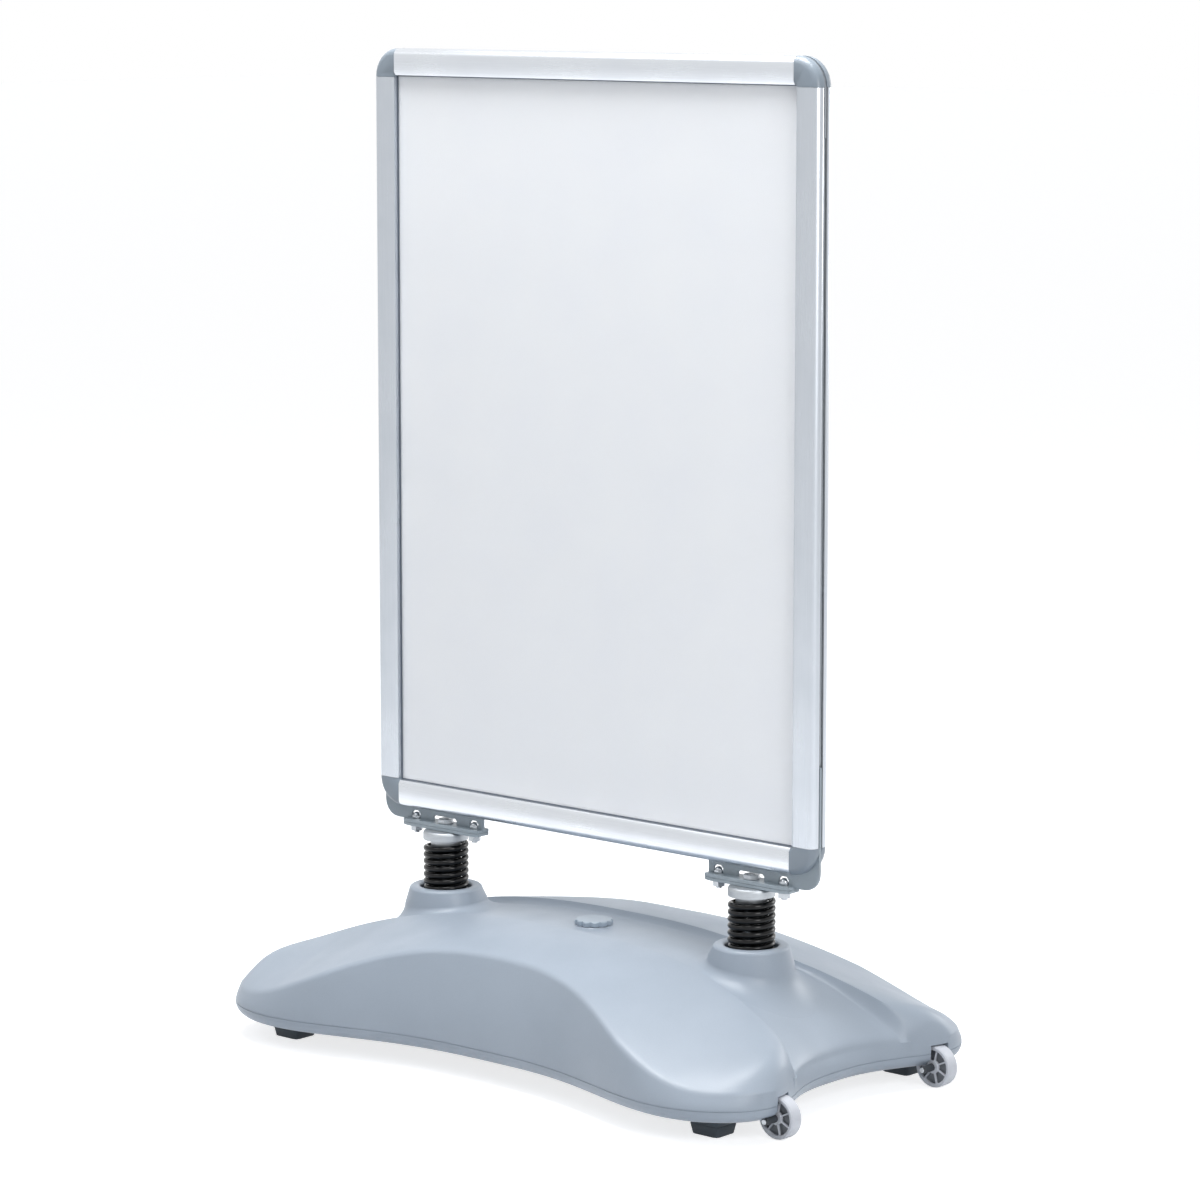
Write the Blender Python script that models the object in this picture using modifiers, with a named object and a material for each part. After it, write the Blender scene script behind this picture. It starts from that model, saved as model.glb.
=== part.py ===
"""Pavement sign: a double-sided poster frame on two springs in a water-filled base with wheels.

Metres, +Z up. The front face looks along -Y and the two wheels are at the +X end. The model is built
round the middle of the tank and moved at the end, so that the origin is on the ground under the
middle of the whole sign.
"""
import math

import bmesh
import bpy
from mathutils import Matrix, Vector

# Clearances
TOUCH_GAP = 0.0003
RUNNING_GAP = 0.0008
OVERLAP = 0.001
TURNED_CHAMFER = 0.002
SLOPE_STEP = 0.001

# Tank outline, at the mould's parting line
TANK_OFFSET_X = -0.0035
TANK_TIP_X = 0.396
TANK_END_X = 0.358
TANK_WAIST_Y = 0.190
TANK_SHOULDER_X = 0.290
TANK_SHOULDER_Y = 0.238
TANK_TIP_Y = 0.156
TANK_WAIST_POWER = 1.4
PARTING_Z = 0.040
TANK_BOTTOM_Z = 0.025
BOTTOM_EDGE_INSET = 0.014
WALL_BULGE_POWER = 1.5

# Tank top: a lobe in front of and behind a valley that runs the length of the tank
CREASE_LOW_Z = 0.056
CREASE_RISE = 0.085
CREASE_END_X = 0.360
CREASE_POWER = 1.38
CREASE_TIP_RISE = 0.001
CREASE_WAIST_INSET = 0.028
CREASE_INSET = 0.008
CREASE_TIP_INSET = 0.0005
CREASE_INSET_END_X = 0.220
LOBE_END_X = 0.380
LOBE_MID_Z = 0.1575
LOBE_FALL = 0.075
LOBE_FALL_POWER = 2.6
LOBE_CROWN = 0.003
LOBE_END_CROWN = 0.018
LOBE_CROWN_POWER = 0.75
LOBE_TIP_Z = 0.057
LOBE_END_RADIUS = 0.026
LOBE_END_POWER = 1.6
INNER_EDGE_Y = 0.056
INNER_EDGE_FLARE = 0.048
INNER_FLARE_START_X = 0.140
INNER_FLARE_POWER = 1.5
INNER_WALL_WIDTH = 0.007
INNER_WALL_END_WIDTH = 0.012
VALLEY_DEPTH = 0.0068
VALLEY_END_Z = 0.057
VALLEY_END_INSET = 0.006
VALLEY_END_RADIUS = 0.100

# Spring collars and wells
SPRING_X = 0.232
COLLAR_TOP_Z = 0.1645
COLLAR_RADIUS = 0.0485
COLLAR_TOP_RADIUS = 0.0435
COLLAR_ROOT_Z = 0.100
COLLAR_FLARE = 0.022
COLLAR_FLARE_HEIGHT = 0.028
COLLAR_ROUNDING = 0.005
WELL_RADIUS = 0.030
WELL_FLOOR_Z = 0.110
SEAT_THICKNESS = 0.003
SPIGOT_HEIGHT = 0.012

# Springs
SPRING_RADIUS = 0.0235
SPRING_WIRE = 0.007
SPRING_HEIGHT = 0.1058
SPRING_CURLS = 12.5
POINTS_PER_CURL = 9

# Filler neck and cap
NECK_RADIUS = 0.0155
NECK_RISE = 0.001
NECK_DEPTH = 0.022
SEAL_WIDTH = 0.004
SEAL_THICKNESS = 0.0015
CAP_RADIUS = 0.0222
CAP_THICKNESS = 0.0056
CAP_SCALLOPS = 12
CAP_SCALLOP_DEPTH = 0.0027
CAP_PLUG_LENGTH = 0.014
CAP_WALL = 0.003

# Feet
FOOT_X = 0.317
FOOT_Y = 0.1685
FOOT_BOTTOM_LENGTH = 0.036
FOOT_BOTTOM_WIDTH = 0.032
FOOT_TOP_LENGTH = 0.046
FOOT_TOP_WIDTH = 0.040
FOOT_ROUNDING = 0.005
FOOT_GROOVE_DEPTH = 0.0008
FOOT_GROOVE_WIDTH = 0.0016
FOOT_PEG_RADIUS = 0.008
FOOT_PEG_HEIGHT = 0.010

# Wheels and axles
WHEEL_X = 0.3856
WHEEL_Y = 0.1398
WHEEL_RADIUS = 0.0236
WHEEL_WIDTH = 0.0164
WHEEL_CLEARANCE = 0.0005
WHEEL_RIM = 0.0045
WHEEL_WEB = 0.004
WHEEL_HUB_RADIUS = 0.0075
WHEEL_RIBS = 7
WHEEL_RIB_THICKNESS = 0.0018
AXLE_RADIUS = 0.0025
AXLE_HEAD_RADIUS = 0.0031
AXLE_HEAD_THICKNESS = 0.0015
SLEEVE_RADIUS = 0.0043
SLEEVE_LENGTH = 0.0175
NOTCH_WIDTH = 0.025
NOTCH_CLEARANCE = 0.0014
CHANNEL_END = 0.004

# Spring caps, clamp plates and brackets
SPRING_CAP_RADIUS = 0.0268
SPRING_CAP_THICKNESS = 0.0105
SPRING_CAP_ROUNDING = 0.003
SPRING_CAP_PLUG = 0.013
STUD_RADIUS = 0.005
STUD_TAIL = 0.001
STUD_NUT_WIDTH = 0.017
STUD_NUT_THICKNESS = 0.005
CLAMP_LENGTH = 0.120
CLAMP_WIDTH = 0.0246
CLAMP_CHAMFER_X = 0.010
CLAMP_CHAMFER_Y = 0.003
CLAMP_THICKNESS = 0.0036
SLOT_LENGTH = 0.020
BOLT_INSET = 0.0135
BOLT_RADIUS = 0.0035
BOLT_TAIL = 0.0025
BOLT_NUT_WIDTH = 0.013
BOLT_NUT_THICKNESS = 0.0065
DOME_HEAD_WIDTH = 0.010
DOME_HEAD_HEX = 0.0034
DOME_HEAD_HEIGHT = 0.0075
DOME_NOTCH_WIDTH = 0.014
DOME_NOTCH_HEIGHT = 0.0095
WEB_INNER_X = 0.1715
WEB_INNER_HEIGHT = 0.026
WEB_OUTER_HEIGHT = 0.137
WEB_CORNER_RADIUS = 0.020
WEB_NOTCH_WIDTH = 0.038
WEB_NOTCH_HEIGHT = 0.0075
WEB_EDGE_INSET = 0.0005

# Poster frames
PANEL_WIDTH = 0.605
PANEL_HEIGHT = 0.841
PANEL_INSET = 0.026
PANEL_THICKNESS = 0.001
COVER_THICKNESS = 0.0003
FRAME_SPACING = 0.004
FRAME_LIFT = 0.0145
FRAME_DEPTH = 0.012
RAIL_WIDTH = 0.031
RAIL_WALL = 0.0013
RAIL_ROUNDING = 0.008
RAIL_BEVEL_WIDTH = 0.004
RAIL_BEVEL_DROP = 0.0026
HINGE_INSET = 0.0026
BEAD_RADIUS = 0.001
BARREL_RADIUS = 0.0025
PROFILE_PLATE = 0.0013
PROFILE_WEB = 0.0009
PROFILE_PLATE_START = 0.005
UPSTAND_THICKNESS = 0.0012
UPSTAND_HEIGHT = 0.0032
CORNER_SIZE = 0.033
CORNER_STEPS = 8
TONGUE_START = 0.006
TONGUE_LENGTH = 0.014
TOP_PLATE_HEIGHT = 0.087
TOP_PLATE_WIDTH = 0.060
TOP_PLATE_END = 0.010

# Joint axes that aren't given by the pieces themselves
SWAY_Z = 0.190

# Heights that follow from the stack of pieces on the spring seats
SEAT_TOP_Z = WELL_FLOOR_Z + TOUCH_GAP + SEAT_THICKNESS
SPRING_BOTTOM_Z = SEAT_TOP_Z + TOUCH_GAP
SPRING_TOP_Z = SPRING_BOTTOM_Z + SPRING_HEIGHT
SPRING_CAP_Z = SPRING_TOP_Z + TOUCH_GAP
CLAMP_Z = SPRING_CAP_Z + SPRING_CAP_THICKNESS + TOUCH_GAP
FLANGE_Z = CLAMP_Z + CLAMP_THICKNESS + TOUCH_GAP
FLANGE_TOP_Z = FLANGE_Z + CLAMP_THICKNESS
FRAME_BOTTOM_Z = FLANGE_TOP_Z + FRAME_LIFT
FRAME_WIDTH = PANEL_WIDTH + 2 * PANEL_INSET
FRAME_HEIGHT = PANEL_HEIGHT + 2 * PANEL_INSET
FRAME_MID_Z = FRAME_BOTTOM_Z + FRAME_HEIGHT / 2
BRACKET_THICKNESS = FRAME_SPACING - 2 * TOUCH_GAP
BOLT_X = CLAMP_LENGTH / 2 - BOLT_INSET
SPRING_BORE = SPRING_RADIUS * math.cos(math.pi / POINTS_PER_CURL) - SPRING_WIRE / 2
AXLE_Z = WHEEL_RADIUS + WHEEL_CLEARANCE
BORE_RADIUS = AXLE_RADIUS + TOUCH_GAP
SLEEVE_START = WHEEL_WIDTH / 2 + RUNNING_GAP
SLEEVE_END = SLEEVE_START + SLEEVE_LENGTH

# How finely the curved surfaces of the tank are divided
SIDE_STATIONS = 10
CORNER_STATIONS = 6
WALL_ROWS = 3
BOTTOM_ROWS = 3

SIGN = bpy.data.collections.new("pavement_sign")
CUTTERS = bpy.data.collections.new("cutters")


def clear_scene():
    """Remove every object and make the two collections part of the scene."""
    for old in list(bpy.data.objects):
        bpy.data.objects.remove(old, do_unlink=True)
    bpy.context.scene.collection.children.link(SIGN)
    bpy.context.scene.collection.children.link(CUTTERS)


def add_material(name, colour, roughness, metallic=0.0, alpha=1.0):
    """One Principled material with the finish of a sub-part."""
    material = bpy.data.materials.new(name)
    material.use_nodes = True
    shader = material.node_tree.nodes["Principled BSDF"]
    shader.inputs["Base Color"].default_value = (*colour, 1.0)
    shader.inputs["Roughness"].default_value = roughness
    shader.inputs["Metallic"].default_value = metallic
    shader.inputs["Alpha"].default_value = alpha
    return material


def arc(centre_x, centre_y, radius, start, end, steps, radius_y=None):
    """Points on an arc from start to end degrees, both ends included."""
    height = radius if radius_y is None else radius_y
    points = []
    for step in range(steps + 1):
        angle = math.radians(start + (end - start) * step / steps)
        points.append((centre_x + radius * math.cos(angle), centre_y + height * math.sin(angle)))
    return points


def circle(centre_x, centre_y, radius, steps):
    """Points round a full circle, the first not repeated."""
    return arc(centre_x, centre_y, radius, 0, 360, steps)[:-1]


def hexagon(across_flats):
    """Corners of a hexagon with the given width across its flats."""
    return circle(0, 0, across_flats / math.sqrt(3), 6)


def evaluated_mesh(obj):
    """The object's mesh with its modifiers applied and its loose caps welded; the object is removed."""
    bpy.context.view_layer.update()
    graph = bpy.context.evaluated_depsgraph_get()
    mesh = bpy.data.meshes.new_from_object(obj.evaluated_get(graph))
    work = bmesh.new()
    work.from_mesh(mesh)
    bmesh.ops.remove_doubles(work, verts=work.verts, dist=0.000001)
    bmesh.ops.recalc_face_normals(work, faces=work.faces)
    work.to_mesh(mesh)
    work.free()
    bpy.data.objects.remove(obj, do_unlink=True)
    return mesh


def extruded(loops, low, high):
    """A flat outline, with any holes after it, extruded along Z from low to high."""
    curve = bpy.data.curves.new("outline", "CURVE")
    curve.dimensions = "2D"
    curve.fill_mode = "BOTH"
    curve.extrude = (high - low) / 2
    for loop in loops:
        spline = curve.splines.new("POLY")
        spline.points.add(len(loop) - 1)
        for point, (x, y) in zip(spline.points, loop):
            point.co = (x, y, 0, 1)
        spline.use_cyclic_u = True
    obj = bpy.data.objects.new("outline", curve)
    CUTTERS.objects.link(obj)
    mesh = evaluated_mesh(obj)
    mesh.transform(Matrix.Translation((0, 0, (high + low) / 2)))
    bpy.data.curves.remove(curve)
    return mesh


def turned(profile, steps):
    """A solid turned about Z from a profile of (radius, height), listed from top to bottom."""
    mesh = bpy.data.meshes.new("turned")
    edges = [(index, index + 1) for index in range(len(profile) - 1)]
    mesh.from_pydata([(radius, 0, height) for radius, height in profile], edges, [])
    obj = bpy.data.objects.new("turned", mesh)
    CUTTERS.objects.link(obj)
    screw = obj.modifiers.new("turn", "SCREW")
    screw.steps = steps
    screw.render_steps = steps
    screw.use_merge_vertices = True
    screw.merge_threshold = 0.00001
    return evaluated_mesh(obj)


def box_mesh(low, high):
    """A box between two corners."""
    work = bmesh.new()
    size = Vector(high) - Vector(low)
    middle = (Vector(high) + Vector(low)) / 2
    bmesh.ops.create_cube(work, size=1, matrix=Matrix.Translation(middle) @ Matrix.Diagonal((*size, 1)))
    mesh = bpy.data.meshes.new("box")
    work.to_mesh(mesh)
    work.free()
    return mesh


def shade(mesh, angle=35):
    """Smooth shading that keeps edges sharper than the angle."""
    mesh.shade_smooth()
    mesh.set_sharp_from_angle(angle=math.radians(angle))


def add_part(name, mesh, material, matrix=None):
    """A named sub-part of the sign."""
    obj = bpy.data.objects.new(name, mesh)
    obj.matrix_world = matrix if matrix is not None else Matrix.Identity(4)
    if not mesh.materials:
        mesh.materials.append(material)
    SIGN.objects.link(obj)
    return obj


def add_tool(target, mesh, operation, matrix=None):
    """A hidden shape that a Boolean joins to the target or cuts out of it."""
    tool = bpy.data.objects.new(target.name + "_tool", mesh)
    tool.matrix_world = matrix if matrix is not None else Matrix.Identity(4)
    tool.hide_render = True
    tool.display_type = "WIRE"
    CUTTERS.objects.link(tool)
    modifier = target.modifiers.new(operation.lower(), "BOOLEAN")
    modifier.operation = operation
    modifier.solver = "EXACT"
    modifier.object = tool
    return tool


def joined(mesh, tools):
    """The mesh after each (mesh, operation, matrix) in tools has been joined to it or cut from it."""
    target = bpy.data.objects.new("target", mesh)
    CUTTERS.objects.link(target)
    helpers = [add_tool(target, *tool) for tool in tools]
    result = evaluated_mesh(target)
    for helper in helpers:
        bpy.data.objects.remove(helper, do_unlink=True)
    return result


def lofted(rings):
    """A closed solid through rings of equally many points, with a flat face at each end."""
    work = bmesh.new()
    rows = [[work.verts.new(point) for point in ring] for ring in rings]
    count = len(rings[0])
    for lower, upper in zip(rows, rows[1:]):
        for index in range(count):
            following = (index + 1) % count
            work.faces.new((lower[index], lower[following], upper[following], upper[index]))
    work.faces.new(rows[0])
    work.faces.new(rows[-1])
    bmesh.ops.recalc_face_normals(work, faces=work.faces)
    mesh = bpy.data.meshes.new("loft")
    work.to_mesh(mesh)
    work.free()
    return mesh


# Tank


def waist_ease(share):
    """0 at the waist, 1 at the shoulder, smooth at both."""
    return math.sin(math.pi / 2 * share ** TANK_WAIST_POWER) ** 2


def outline_point(station):
    """Point of the parting line at a station: 0-1 along the side, 1-2 round the corner."""
    if station <= 1:
        x = TANK_SHOULDER_X * station
        return Vector((x, TANK_WAIST_Y + (TANK_SHOULDER_Y - TANK_WAIST_Y) * waist_ease(station)))
    angle = math.pi / 2 * (2 - station)
    x = TANK_SHOULDER_X + (TANK_TIP_X - TANK_SHOULDER_X) * math.cos(angle)
    return Vector((x, TANK_TIP_Y + (TANK_SHOULDER_Y - TANK_TIP_Y) * math.sin(angle)))


def outline_normal(station):
    """Outward direction of the parting line at a station."""
    if station <= 0:
        return Vector((0, 1))
    if station >= 2:
        return Vector((1, 0))
    along = outline_point(min(station + SLOPE_STEP, 2)) - outline_point(station - SLOPE_STEP)
    return Vector((-along.y, along.x)).normalized()


def end_outline_x(y):
    """X of the parting line across the end of the tank."""
    return TANK_END_X + (TANK_TIP_X - TANK_END_X) * waist_ease(min(y / TANK_TIP_Y, 1))


def end_edge_x(y):
    """X of the top edge across the end of the tank."""
    share = min(y / TANK_TIP_Y, 1)
    return end_outline_x(y) - VALLEY_END_INSET - (CREASE_TIP_INSET - VALLEY_END_INSET) * share


def crease_point(station):
    """Top edge of the tank's side wall at a station."""
    point = outline_point(station)
    run = min(point.x / CREASE_INSET_END_X, 1)
    inset = CREASE_WAIST_INSET + (CREASE_INSET - CREASE_WAIST_INSET) * run ** 1.5
    round_corner = max(station - 1, 0)
    inset += (CREASE_TIP_INSET - CREASE_INSET) * round_corner ** 2
    place = point - outline_normal(station) * inset
    share = min(place.x / CREASE_END_X, 1)
    height = CREASE_LOW_Z + CREASE_RISE * math.cos(math.pi / 2 * share ** CREASE_POWER) ** 2
    height += CREASE_TIP_RISE * round_corner ** 3
    return Vector((place.x, place.y, height))


def lobe_edge_z(x):
    """Height of the lobe's inner edge."""
    return LOBE_MID_Z - LOBE_FALL * (x / LOBE_END_X) ** LOBE_FALL_POWER


def lobe_edge_y(x):
    """Distance of the lobe's inner edge from the middle of the tank."""
    share = max((x - INNER_FLARE_START_X) / (LOBE_END_X - INNER_FLARE_START_X), 0)
    return INNER_EDGE_Y + INNER_EDGE_FLARE * share ** INNER_FLARE_POWER


def inner_wall_width(x):
    """Width in plan of the wall between the valley floor and the lobe's inner edge."""
    return INNER_WALL_WIDTH + (INNER_WALL_END_WIDTH - INNER_WALL_WIDTH) * x / LOBE_END_X


def end_distance(x, y):
    """How far a point of the tank's top is from the end of the tank, along X."""
    if y <= TANK_TIP_Y:
        return max(end_edge_x(y) - x, 0)
    share = min((y - TANK_TIP_Y) / (TANK_SHOULDER_Y - TANK_TIP_Y), 1)
    corner_x = TANK_SHOULDER_X + (TANK_TIP_X - TANK_SHOULDER_X) * math.sqrt(1 - share ** 2)
    return max(corner_x - CREASE_TIP_INSET - x, 0)


def rounded_end(height, distance, end_height, radius):
    """A height of the tank's top, brought down to the end height over the last stretch."""
    if distance >= radius:
        return height
    return end_height + (height - end_height) * math.sqrt(1 - (1 - distance / radius) ** 2)


def valley_z(x, y):
    """Height of the valley floor, which rounds over at the end of the tank."""
    floor = lobe_edge_z(x) - VALLEY_DEPTH
    return rounded_end(floor, end_distance(x, y), VALLEY_END_Z, VALLEY_END_RADIUS)


def tank_row(station):
    """Points across the top of the tank at a station, from the middle of the valley to the crease."""
    crease = crease_point(station)
    if station <= 1:
        edge_x = crease.x
    else:
        start = crease_point(1).x
        edge_x = start + (LOBE_END_X - start) * (1 - (2 - station) ** LOBE_END_POWER)
    edge_y = lobe_edge_y(edge_x)
    edge_z = rounded_end(lobe_edge_z(edge_x), end_distance(edge_x, edge_y), LOBE_TIP_Z, LOBE_END_RADIUS)
    wall_width = inner_wall_width(edge_x)
    foot_y = edge_y - wall_width
    pull = (edge_x / LOBE_END_X) ** 4
    points = []
    for y in (0, 0.35 * foot_y, 0.7 * foot_y, foot_y):
        x = edge_x - pull * (LOBE_END_X - end_edge_x(y))
        points.append(Vector((x, y, valley_z(x, y))))
    for share, rise in ((0.3, 0.14), (0.6, 0.68), (0.85, 0.96), (1, 1)):
        y = foot_y + wall_width * share
        x = edge_x - pull * (LOBE_END_X - end_edge_x(y)) * (1 - share)
        floor = valley_z(x, y)
        points.append(Vector((x, y, floor + (edge_z - floor) * rise)))
    edge = Vector((edge_x, edge_y, lobe_edge_z(edge_x)))
    crown = LOBE_CROWN + (LOBE_END_CROWN - LOBE_CROWN) * max(station - 1, 0)
    for share in (0.12, 0.35, 0.6, 0.85, 1):
        point = edge.lerp(crease, share)
        if station >= 2:
            point.x = end_edge_x(point.y)
        height = point.z + crown * (4 * share * (1 - share)) ** LOBE_CROWN_POWER
        point.z = rounded_end(height, end_distance(point.x, point.y), LOBE_TIP_Z, LOBE_END_RADIUS)
        points.append(point)
    return points


def tank_quarter():
    """One quarter of the tank's outer skin, open at the two planes of symmetry."""
    stations = [step / SIDE_STATIONS for step in range(SIDE_STATIONS)]
    stations += [1 + step / CORNER_STATIONS for step in range(CORNER_STATIONS + 1)]
    work = bmesh.new()
    grid = [[work.verts.new(point) for point in tank_row(station)] for station in stations]
    for row, following in zip(grid, grid[1:]):
        for index in range(len(row) - 1):
            work.faces.new((row[index], row[index + 1], following[index + 1], following[index]))

    crease = [row[-1] for row in grid] + list(reversed(grid[-1][:-1]))
    outline = []
    for station in stations:
        outline.append((outline_point(station), outline_normal(station)))
    for vert in crease[len(stations):]:
        y = vert.co.y
        slope = (end_outline_x(y + SLOPE_STEP) - end_outline_x(abs(y - SLOPE_STEP))) / (2 * SLOPE_STEP)
        normal = Vector((1, -slope)).normalized() if y > 0 else Vector((1, 0))
        outline.append((Vector((end_outline_x(y), y)), normal))

    rows = [crease]
    for step in range(1, WALL_ROWS + 1):
        share = step / WALL_ROWS
        ring = []
        for top, (place, normal) in zip(crease, outline):
            bottom = Vector((place.x, place.y, PARTING_Z))
            point = top.co.lerp(bottom, 1 - (1 - share) ** WALL_BULGE_POWER)
            point.z = top.co.z + (PARTING_Z - top.co.z) * share
            ring.append(work.verts.new(point))
        rows.append(ring)
    for step in range(1, BOTTOM_ROWS + 1):
        angle = math.pi / 2 * step / BOTTOM_ROWS
        inset = BOTTOM_EDGE_INSET * (1 - math.cos(angle))
        z = PARTING_Z - (PARTING_Z - TANK_BOTTOM_Z) * math.sin(angle)
        ring = []
        for place, normal in outline:
            point = place - normal * inset
            ring.append(work.verts.new((point.x, point.y, z)))
        rows.append(ring)
    for upper, lower in zip(rows, rows[1:]):
        for index in range(len(upper) - 1):
            work.faces.new((upper[index], lower[index], lower[index + 1], upper[index + 1]))
    middle = work.verts.new((0, 0, TANK_BOTTOM_Z))
    work.faces.new([middle] + rows[-1])
    mesh = bpy.data.meshes.new("tank_quarter")
    work.to_mesh(mesh)
    work.free()
    return mesh


def full_tank():
    """The quarter mirrored to the whole skin of the tank."""
    obj = bpy.data.objects.new("tank", tank_quarter())
    CUTTERS.objects.link(obj)
    mirror = obj.modifiers.new("mirror", "MIRROR")
    mirror.use_axis = (True, True, False)
    mirror.merge_threshold = 0.00005
    mesh = evaluated_mesh(obj)
    mesh.transform(Matrix.Translation((TANK_OFFSET_X, 0, 0)))
    return mesh


def collar_solid():
    """Outside of a spring collar, from its rim down into the tank."""
    foot_z = valley_z(SPRING_X + COLLAR_RADIUS, 0)
    top = COLLAR_TOP_Z
    profile = [(0, top)]
    profile += arc(COLLAR_TOP_RADIUS - COLLAR_ROUNDING, top - COLLAR_ROUNDING, COLLAR_ROUNDING, 90, 0, 3)
    profile += arc(COLLAR_RADIUS + COLLAR_FLARE, foot_z + COLLAR_FLARE_HEIGHT, COLLAR_FLARE,
                   180, 262, 4, COLLAR_FLARE_HEIGHT)
    profile += [(COLLAR_RADIUS + COLLAR_FLARE, COLLAR_ROOT_Z), (0, COLLAR_ROOT_Z)]
    return turned(profile, 28)


def well_solid():
    """Hole of a spring collar, with a rounded mouth."""
    mouth = (COLLAR_TOP_RADIUS - WELL_RADIUS) / 4
    top = COLLAR_TOP_Z
    profile = [(0, top + 0.01), (WELL_RADIUS + mouth, top + 0.01)]
    profile += arc(WELL_RADIUS + mouth, top - mouth, mouth, 90, 180, 2)
    profile += [(WELL_RADIUS, WELL_FLOOR_Z), (0, WELL_FLOOR_Z)]
    return turned(profile, 28)


def neck_top_z():
    """Height of the filler neck's rim."""
    return valley_z(0, 0) + NECK_RISE


def neck_rim_solid():
    """Low raised rim round the filler neck."""
    top = neck_top_z()
    low = valley_z(0, 0) - NECK_RISE
    outer = CAP_RADIUS + RUNNING_GAP
    return turned([(0, top), (outer, top), (outer + 2 * NECK_RISE, low), (0, low)], 24)


def neck_solid():
    """Bore of the filler neck, with the seat of the seal."""
    top = neck_top_z()
    seat_z = top - SEAL_THICKNESS
    seat_radius = NECK_RADIUS + SEAL_WIDTH
    profile = [(0, top + NECK_RISE), (seat_radius, top + NECK_RISE), (seat_radius, seat_z)]
    profile += [(NECK_RADIUS, seat_z), (NECK_RADIUS, seat_z - NECK_DEPTH), (0, seat_z - NECK_DEPTH)]
    return turned(profile, 24)


def along_y(x, y, z):
    """Placing of a turned piece whose axis lies along Y."""
    return Matrix.Translation((x, y, z)) @ Matrix.Rotation(-math.pi / 2, 4, "X")


def build_tank(material):
    """The moulded tank with its collars, wells, filler neck, wheel notches and axle channels."""
    tank = add_part("base_tank", full_tank(), material)
    for side in (-1, 1):
        add_tool(tank, collar_solid(), "UNION", Matrix.Translation((side * SPRING_X, 0, 0)))
    for side in (-1, 1):
        add_tool(tank, well_solid(), "DIFFERENCE", Matrix.Translation((side * SPRING_X, 0, 0)))
    add_tool(tank, neck_rim_solid(), "UNION")
    add_tool(tank, neck_solid(), "DIFFERENCE")
    beyond = TANK_TIP_X + WHEEL_RADIUS
    sleeve_room = SLEEVE_RADIUS + TOUCH_GAP
    wheel_room = WHEEL_RADIUS + NOTCH_CLEARANCE
    for side in (-1, 1):
        for half, room in ((NOTCH_WIDTH / 2, wheel_room), (SLEEVE_END + CHANNEL_END, sleeve_room)):
            low = (WHEEL_X - room, side * WHEEL_Y - half, 0)
            high = (beyond, side * WHEEL_Y + half, AXLE_Z + room)
            add_tool(tank, box_mesh(low, high), "DIFFERENCE")
    socket_top = TANK_BOTTOM_Z + FOOT_PEG_HEIGHT + TOUCH_GAP
    for x, y in foot_places().values():
        radius = FOOT_PEG_RADIUS + TOUCH_GAP
        socket = turned([(0, socket_top), (radius, socket_top), (radius, 0), (0, 0)], 12)
        add_tool(tank, socket, "DIFFERENCE", Matrix.Translation((x, y, 0)))
    shade(tank.data, 40)
    return tank


# Feet, wheels, axles


def foot_places():
    """Middle of each foot."""
    return {"front_left": (-FOOT_X, -FOOT_Y), "front_right": (FOOT_X, -FOOT_Y),
            "rear_left": (-FOOT_X, FOOT_Y), "rear_right": (FOOT_X, FOOT_Y)}


def rounded_rectangle(length, width, radius, z):
    """Ring of points round a rectangle with rounded corners."""
    ring = []
    for centre_x, centre_y, start in ((1, 1, 0), (-1, 1, 90), (-1, -1, 180), (1, -1, 270)):
        corner = arc(centre_x * (length / 2 - radius), centre_y * (width / 2 - radius), radius,
                     start, start + 90, 2)
        ring += [(x, y, z) for x, y in corner]
    return ring


def foot_mesh():
    """A tapered foot with a groove round its middle and a peg on top."""
    top = TANK_BOTTOM_Z - TOUCH_GAP
    middle = top / 2
    levels = ((0, 0), (middle - FOOT_GROOVE_WIDTH / 2, 0), (middle, FOOT_GROOVE_DEPTH),
              (middle + FOOT_GROOVE_WIDTH / 2, 0), (top, 0))
    rings = []
    for z, inset in levels:
        share = z / top
        length = FOOT_BOTTOM_LENGTH + (FOOT_TOP_LENGTH - FOOT_BOTTOM_LENGTH) * share - 2 * inset
        width = FOOT_BOTTOM_WIDTH + (FOOT_TOP_WIDTH - FOOT_BOTTOM_WIDTH) * share - 2 * inset
        rings.append(rounded_rectangle(length, width, FOOT_ROUNDING, z))
    peg_top = TANK_BOTTOM_Z + FOOT_PEG_HEIGHT
    peg = turned([(0, peg_top), (FOOT_PEG_RADIUS, peg_top), (FOOT_PEG_RADIUS, middle), (0, middle)], 12)
    mesh = joined(lofted(rings), [(peg, "UNION", None)])
    shade(mesh, 40)
    return mesh


def build_feet(material):
    """Four feet under the corners of the tank."""
    mesh = foot_mesh()
    for name, (x, y) in foot_places().items():
        add_part("foot_" + name, mesh, material, Matrix.Translation((x, y, 0)))


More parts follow.
